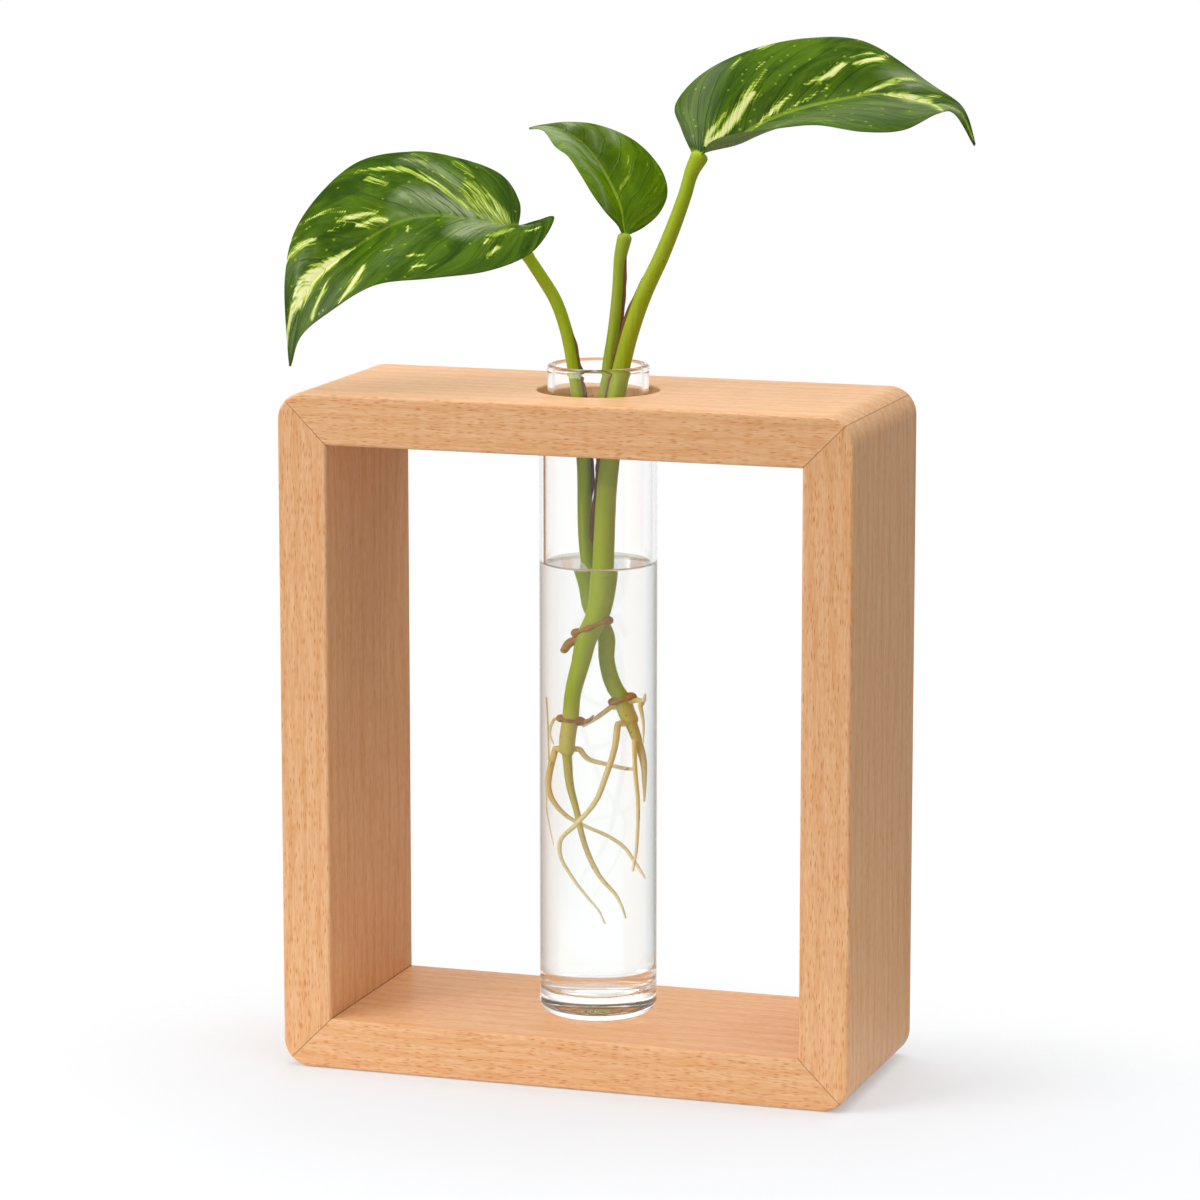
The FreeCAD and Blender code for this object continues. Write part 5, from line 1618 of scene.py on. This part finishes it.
@dataclass
class Studio:
    """A pale floor, soft lamps and the photograph's camera.

    The floor shows as a pale pool round the vase, stretched and shifted, that fades out
    between the two distances of pool_fade, in metres. The levels are how bright the world
    is to rays that nothing, gloss or glass has sent on.
    """

    camera_place: Point = (0.3999, -1.2135, 0.3475)
    camera_yaw: float = 18.22
    camera_pitch: float = 10.09
    lens: float = 153.6
    floor_reach: float = 1.6
    pool_stretch: Point = (1.0, 1.5, 1.0)
    pool_shift: Point = (-0.02, 0.10, 0.0)
    pool_fade: tuple[float, float] = (0.12, 0.25)
    pool_glow: float = 0.36
    even_level: float = 0.36
    mirrored_levels: tuple[float, float] = (0.14, 1.0)
    through_levels: tuple[float, float] = (0.55, 1.12)
    top_light: Colour = (0.94, 0.99, 1.07)

    def build(self) -> None:
        """Make the camera, the lamps, the world and the floor."""
        self.build_camera()
        self.build_lamps()
        self.build_world()
        self.build_floor()
        bpy.context.scene.view_settings.view_transform = "Standard"

    def build_camera(self) -> None:
        """Stand the camera where the photograph was taken from."""
        data = bpy.data.cameras.new("photograph")
        data.lens = self.lens
        data.sensor_width = 36.0
        data.clip_start = 0.05
        data.clip_end = 30.0
        camera = show("photograph", data)
        camera.location = self.camera_place
        camera.rotation_euler = (math.radians(90 - self.camera_pitch), 0.0, math.radians(self.camera_yaw))
        bpy.context.scene.camera = camera

    def build_lamps(self) -> None:
        """Hang a soft lamp on the left, a weaker one on the right and a large one above."""
        lamps = (
            ("key_lamp", (-0.60, -0.62, 0.55), 0.6, 5.8),
            ("fill_lamp", (1.3, -0.9, 0.8), 1.2, 1.0),
            ("top_lamp", (0.1, 0.2, 1.5), 1.6, 21.5),
        )
        for name, place, size, power in lamps:
            data = bpy.data.lights.new(name, "AREA")
            data.shape = "SQUARE"
            data.size = size
            data.energy = power
            data.color = self.top_light if name == "top_lamp" else (1.0, 1.0, 1.0)
            lamp = show(name, data)
            lamp.location = place
            lamp.visible_glossy = name == "key_lamp"
            target = np.array([0.0, 0.0, 0.12]) - np.array(place)
            tilt = math.atan2(math.hypot(target[0], target[1]), -target[2])
            turn = math.atan2(target[1], target[0]) - math.pi / 2
            lamp.rotation_euler = (tilt, 0.0, turn)

    def build_world(self) -> None:
        """Light the scene evenly, with a white backdrop that glass and gloss see too."""
        world = bpy.data.worlds.new("studio")
        world.use_nodes = True
        world.node_tree.nodes.clear()
        nodes = Nodes(world.node_tree)
        path = nodes.put("ShaderNodeLightPath").outputs
        yaw = math.radians(self.camera_yaw)
        ahead = (-math.sin(yaw), math.cos(yaw), 0.0)
        facing = nodes.put("ShaderNodeTexCoord").outputs["Generated"]
        dot = nodes.vectors("DOT_PRODUCT", facing, ahead)
        mirrored = nodes.between(dot.outputs["Value"], 0.82, 0.97, *self.mirrored_levels)
        through = nodes.between(nodes.magnitude(dot.outputs["Value"]), 0.50, 0.92, *self.through_levels)
        level = self.even_level
        for ray, seen in (("Glossy", mirrored), ("Transmission", through), ("Camera", 1.0)):
            level = nodes.result("ShaderNodeMix", {0: path[f"Is {ray} Ray"], 2: level, 3: seen})
        light = nodes.result("ShaderNodeBackground", {"Color": paint((1.0, 1.0, 1.0)), "Strength": level})
        nodes.put("ShaderNodeOutputWorld", None, {"Surface": light})
        bpy.context.scene.world = world

    def build_floor(self) -> None:
        """Lay a round pale floor that fades into the backdrop."""
        material, nodes = new_material("pale_floor")
        place = nodes.spot()
        shifted = nodes.vectors("ADD", nodes.stretch(place, self.pool_stretch), self.pool_shift).outputs[0]
        away = nodes.vectors("LENGTH", shifted).outputs["Value"]
        path = nodes.put("ShaderNodeLightPath").outputs
        seen = nodes.larger(path["Is Glossy Ray"], path["Is Transmission Ray"])
        seen = nodes.larger(seen, path["Is Camera Ray"])
        base = nodes.result("ShaderNodeBsdfDiffuse", {"Color": paint((0.88, 0.88, 0.88))})
        veil = nodes.result("ShaderNodeBsdfDiffuse", {"Color": paint((0.50, 0.50, 0.50))})
        white = {"Color": paint((1.0, 1.0, 1.0)), "Strength": self.pool_glow}
        glow = nodes.result("ShaderNodeEmission", white)
        shown = nodes.result("ShaderNodeAddShader", {0: veil, 1: glow})
        lit = nodes.result("ShaderNodeMixShader", {0: seen, 1: base, 2: shown})
        gone = nodes.put("ShaderNodeBsdfTransparent").outputs[0]
        fade = nodes.between(away, *self.pool_fade)
        surface(nodes, nodes.result("ShaderNodeMixShader", {0: fade, 1: lit, 2: gone}))
        ring = [
            (self.floor_reach * math.cos(turn), self.floor_reach * math.sin(turn), -0.0001)
            for turn in np.linspace(0, math.tau, 64, endpoint=False)
        ]
        floor = new_mesh_object("pale_floor", np.array(ring), [range(64)], material)


# Pale patches of the leaves, and in the sheen tables the patches where a grey-green sheen of
# reflected light is painted into the leaves' colour. Each row is a patch's strength and then
# the places on its way: across the blade from -1 at the near margin to 1 at the far one,
# along it from 0 at the base to 1 at the tip, and the patch's half width there in millimetres.
LEFT_STREAK_SHARES: tuple[Streak, ...] = (
    (1.0, (0.06, 0.64, 0.3), (0.07, 0.72, 1.8), (0.10, 0.80, 3.2), (0.14, 0.86, 3.4)),
    (0.9, (0.02, 0.80, 2.4), (-0.12, 0.83, 2.0), (-0.28, 0.85, 1.0)),
    (0.95, (0.18, 0.79, 1.8), (0.30, 0.85, 1.4), (0.39, 0.885, 0.7)),
    (0.95, (0.05, 0.87, 1.6), (0.40, 0.91, 1.2), (0.70, 0.94, 0.9), (1.0, 0.965, 0.7)),
    (0.66, (0.18, 0.05, 2.2), (0.26, 0.16, 3.6), (0.38, 0.24, 4.0), (0.54, 0.31, 2.6)),
    (0.78, (0.30, 0.07, 0.9), (0.42, 0.16, 1.2), (0.52, 0.24, 0.8)),
    (0.58, (0.70, 0.31, 0.8), (0.80, 0.345, 1.0), (0.89, 0.385, 0.7)),
    (
        0.74, (0.11, 0.19, 0.3), (0.24, 0.264, 0.6), (0.37, 0.345, 0.9), (0.55, 0.44, 1.1),
        (0.71, 0.52, 1.2), (0.85, 0.62, 0.3),
    ),
    (0.52, (0.42, 0.32, 0.4), (0.58, 0.38, 0.6), (0.79, 0.46, 0.6), (0.86, 0.53, 0.3)),
    (0.6, (0.82, 0.455, 0.7), (0.92, 0.50, 0.6)),
    (0.8, (0.55, 0.545, 0.5), (0.70, 0.595, 0.8)),
    (0.9, (0.13, 0.54, 0.6), (0.22, 0.58, 0.9), (0.27, 0.63, 0.5)),
    (0.85, (0.28, 0.568, 0.5), (0.34, 0.618, 0.8), (0.42, 0.675, 0.5)),
    (0.7, (0.34, 0.655, 0.4), (0.40, 0.70, 0.5)),
    (0.85, (0.47, 0.65, 0.3), (0.63, 0.69, 0.6), (0.82, 0.745, 0.3)),
    (0.85, (0.46, 0.736, 0.6), (0.63, 0.786, 1.2), (0.84, 0.83, 1.3), (1.0, 0.855, 0.8)),
    (0.7, (0.84, 0.786, 0.5), (1.0, 0.81, 0.7)),
    (0.95, (-0.58, 0.635, 0.7), (-0.72, 0.67, 1.5), (-0.80, 0.685, 1.3), (-0.93, 0.72, 0.4)),
    (0.9, (-0.33, 0.73, 0.4), (-0.55, 0.755, 0.9), (-0.83, 0.81, 1.0)),
    (0.7, (-0.47, 0.55, 0.5), (-0.44, 0.57, 0.4)),
    (0.95, (-0.79, 0.50, 0.6), (-0.78, 0.53, 0.5)),
    (0.85, (-0.66, 0.49, 0.4), (-0.64, 0.53, 0.5)),
    (0.9, (-0.19, 0.49, 0.4), (-0.08, 0.475, 0.5)),
    (0.9, (-0.78, 0.17, 0.5), (-0.68, 0.20, 0.6)),
    (0.66, (-0.50, 0.21, 1.2), (-0.55, 0.30, 1.0)),
    (0.75, (-0.79, 0.355, 0.5), (-0.71, 0.31, 0.6)),
    (0.85, (-0.64, 0.33, 0.5), (-0.60, 0.31, 0.5)),
)
LEFT_PAINTED_SHEEN_SHARES: tuple[Streak, ...] = (
    (0.8, (-0.02, 0.16, 4.0), (-0.22, 0.27, 4.6), (-0.42, 0.36, 2.2)),
    (0.75, (0.14, 0.24, 1.8), (0.24, 0.36, 2.8), (0.36, 0.50, 1.6)),
    (0.5, (0.52, 0.34, 1.0), (0.72, 0.42, 1.4), (0.85, 0.51, 0.6)),
    (0.3, (0.06, 0.42, 1.0), (0.18, 0.52, 0.8)),
    (0.15, (-0.75, 0.68, 4.0), (-0.70, 0.86, 4.0)),
    (0.15, (0.45, 0.78, 2.0), (0.80, 0.86, 3.0)),
    (0.10, (-0.30, 0.50, 3.0), (-0.60, 0.58, 3.0)),
)
MIDDLE_STREAK_SHARES: tuple[Streak, ...] = (
    (0.58, (0.13, 0.30, 0.3), (0.22, 0.38, 0.5), (0.40, 0.45, 0.8), (0.55, 0.545, 0.4)),
    (0.66, (0.42, 0.48, 0.5), (0.52, 0.53, 0.4)),
    (0.46, (0.47, 0.10, 0.4), (0.58, 0.18, 0.4), (0.66, 0.27, 0.2)),
    (0.55, (0.71, 0.355, 0.3), (0.84, 0.44, 0.2)),
    (0.52, (0.74, 0.49, 0.3), (0.87, 0.545, 0.2)),
    (0.44, (-0.60, 0.395, 0.5), (-0.20, 0.40, 0.5), (0.0, 0.33, 0.3)),
)
MIDDLE_PAINTED_SHEEN_SHARES: tuple[Streak, ...] = (
    (0.85, (0.02, 0.52, 0.6), (-0.20, 0.62, 2.2), (-0.40, 0.78, 3.4), (-0.30, 0.92, 2.4)),
    (0.45, (-0.70, 0.30, 0.8), (-0.66, 0.55, 1.2), (-0.66, 0.70, 2.0)),
    (0.8, (0.62, 0.64, 0.5), (0.80, 0.68, 1.0), (0.97, 0.71, 0.8)),
    (0.5, (0.24, 0.62, 0.4), (0.40, 0.68, 0.8), (0.55, 0.72, 0.4)),
    (0.9, (0.20, 0.78, 1.0), (0.60, 0.82, 1.6), (0.95, 0.86, 1.2)),
    (1.0, (0.0, 0.90, 1.5), (0.4, 0.92, 1.2)),
)
RIGHT_STREAK_SHARES: tuple[Streak, ...] = (
    (1.0, (0.13, 0.09, 0.7), (0.20, 0.18, 1.1), (0.26, 0.28, 1.6), (0.37, 0.37, 0.8)),
    (0.85, (0.20, 0.11, 0.8), (0.31, 0.18, 1.1), (0.37, 0.27, 0.5)),
    (0.85, (0.37, 0.345, 0.7), (0.47, 0.41, 0.4), (0.56, 0.44, 0.3)),
    (0.95, (0.04, 0.31, 0.3), (0.12, 0.38, 0.8), (0.22, 0.455, 0.2)),
    (0.75, (0.05, 0.41, 0.3), (0.13, 0.49, 0.4), (0.20, 0.545, 0.3)),
    (0.95, (0.28, 0.50, 0.4), (0.34, 0.565, 0.9), (0.44, 0.60, 0.6)),
    (0.95, (0.45, 0.627, 0.7), (0.62, 0.677, 1.1), (0.84, 0.702, 0.3)),
    (0.9, (0.56, 0.625, 0.5), (0.71, 0.673, 0.6)),
    (0.75, (0.75, 0.38, 0.5), (0.91, 0.42, 0.5)),
    (0.7, (0.61, 0.42, 0.3), (0.67, 0.45, 0.3)),
    (0.8, (0.97, 0.465, 0.6), (1.0, 0.49, 0.6)),
    (0.85, (0.05, 0.61, 0.4), (0.16, 0.673, 0.9), (0.37, 0.72, 0.8), (0.63, 0.75, 0.4)),
    (0.95, (0.04, 0.68, 0.5), (0.05, 0.74, 1.8), (0.02, 0.79, 2.0)),
    (0.85, (0.0, 0.77, 2.2), (-0.35, 0.785, 2.2), (-0.85, 0.805, 1.4)),
    (0.62, (0.10, 0.78, 1.4), (0.35, 0.80, 1.0), (0.50, 0.82, 0.5)),
    (0.62, (-0.67, 0.46, 0.4), (-0.67, 0.55, 0.5)),
    (0.5, (-0.45, 0.39, 0.4), (-0.64, 0.42, 0.4)),
    (0.5, (-0.80, 0.43, 0.4), (-0.70, 0.46, 0.4)),
    (0.62, (0.03, 0.83, 0.7), (0.02, 0.90, 0.8), (0.0, 0.98, 0.4)),
)
RIGHT_PAINTED_SHEEN_SHARES: tuple[Streak, ...] = (
    (0.24, (-0.50, 0.30, 9.0), (-0.45, 0.50, 10.0), (-0.50, 0.76, 6.0)),
    (0.4, (-0.75, 0.33, 1.2), (-0.30, 0.36, 1.0)),
    (0.22, (0.52, 0.10, 3.0), (0.68, 0.22, 4.0), (0.90, 0.36, 3.0)),
    (0.5, (0.45, 0.72, 2.0), (0.95, 0.78, 3.0)),
    (0.7, (0.35, 0.74, 0.6), (0.60, 0.77, 0.5)),
    (0.7, (-0.20, 0.74, 2.5), (-0.60, 0.80, 3.0), (-0.50, 0.88, 2.0)),
)


def main() -> None:
    """Build the dressed vase and its studio, piece by piece."""
    logging.basicConfig(level=logging.INFO, format="%(name)s: %(message)s")
    figure, specks, veins = fibre_group(), speck_group(), vein_group()
    Studio().build()
    Stand(figure).build()
    glass = ClearFinish("clear_glass", 1.5, (0.99, 0.997, 0.995), (0.985, 0.99, 0.988)).build()
    water = ClearFinish("still_water", 1.333, (0.925, 0.932, 0.920), (0.985, 0.992, 0.986)).build()
    # Painted shade: the olive tint of the water's risen edge paints the dark line that the meniscus shows.
    edge = ClearFinish("water_edge_painted_shade", 1.333, (0.60, 0.60, 0.45), (0.985, 0.992, 0.986)).build()
    GlassTube(glass, water, edge).build()
    skins = (
        StalkFinish(
            "stem_skin", (0.60, 0.50, 0.12), (0.35, 0.43, 0.004), (0.46, 0.53, 0.04), 0.05,
            change=(0.2, 0.34),
        ),
        StalkFinish("petiole_skin", (0.27, 0.36, 0.002), (0.36, 0.46, 0.012), (0.44, 0.53, 0.05), 0.02),
        StalkFinish("young_petiole_skin", (0.24, 0.34, 0.002), (0.33, 0.42, 0.03), (0.46, 0.53, 0.09), 0.01),
        StalkFinish(
            "root_skin", (0.76, 0.57, 0.20), (0.95, 0.88, 0.60), (0.76, 0.58, 0.24), 0.16, 0.5, 0.25
        ),
        StalkFinish(
            "old_root_skin", (0.52, 0.44, 0.08), (0.94, 0.84, 0.50), (0.60, 0.44, 0.13), 0.2, 0.5, 0.25
        ),
        StalkFinish("dried_husk", (0.38, 0.18, 0.04), (0.42, 0.22, 0.06), (0.56, 0.36, 0.12), 0.3, 0.7, 0.0),
        StalkFinish(
            "dried_margin", (0.10, 0.035, 0.015), (0.20, 0.08, 0.035), (0.30, 0.15, 0.06), 0.2, 0.7, 0.0
        ),
    )
    Cuttings(SkinMaker(skin_tree()), *[skin.build(specks) for skin in skins]).build()
    left = BladeFinish("left_leaf_blade", 11.0, 0.6, 1.7, 0.05, 0.22)
    # Painted light: the middle leaf's greens are lighter than the others', to make up for the shade it gets
    # among them.
    painted_light_greens = {"deep": (0.080, 0.165, 0.001), "fresh": (0.160, 0.285, 0.001)}
    middle = BladeFinish("middle_leaf_blade", 9.0, 0.6, 4.1, 0.08, 0.75, 0.6, **painted_light_greens)
    right = BladeFinish("right_leaf_blade", 11.0, 0.6, 6.3, 0.03, 0.45, 0.6)
    for node, rows, stalk, seat, length, finish, streaks, painted_sheens in (
        ("left_leaf", LEFT_LEAF_SHARES, REAR_SHOOT_SHARES, (-0.008, 0, 0.015),
         LEAF_LENGTH, left, LEFT_STREAK_SHARES, LEFT_PAINTED_SHEEN_SHARES),
        ("middle_leaf", MIDDLE_LEAF_SHARES, MIDDLE_PETIOLE_SHARES, (0.008, 0, 0.014),
         YOUNG_LEAF_LENGTH, middle, MIDDLE_STREAK_SHARES, MIDDLE_PAINTED_SHEEN_SHARES),
        ("right_leaf", RIGHT_LEAF_SHARES, FRONT_SHOOT_SHARES, (0.006, 0, 0.013),
         LEAF_LENGTH, right, RIGHT_STREAK_SHARES, RIGHT_PAINTED_SHEEN_SHARES),
    ):
        LeafBlade(node, rows, stalk, seat, length, finish, streaks, painted_sheens).build(veins, specks)


if __name__ == "__main__":
    main()
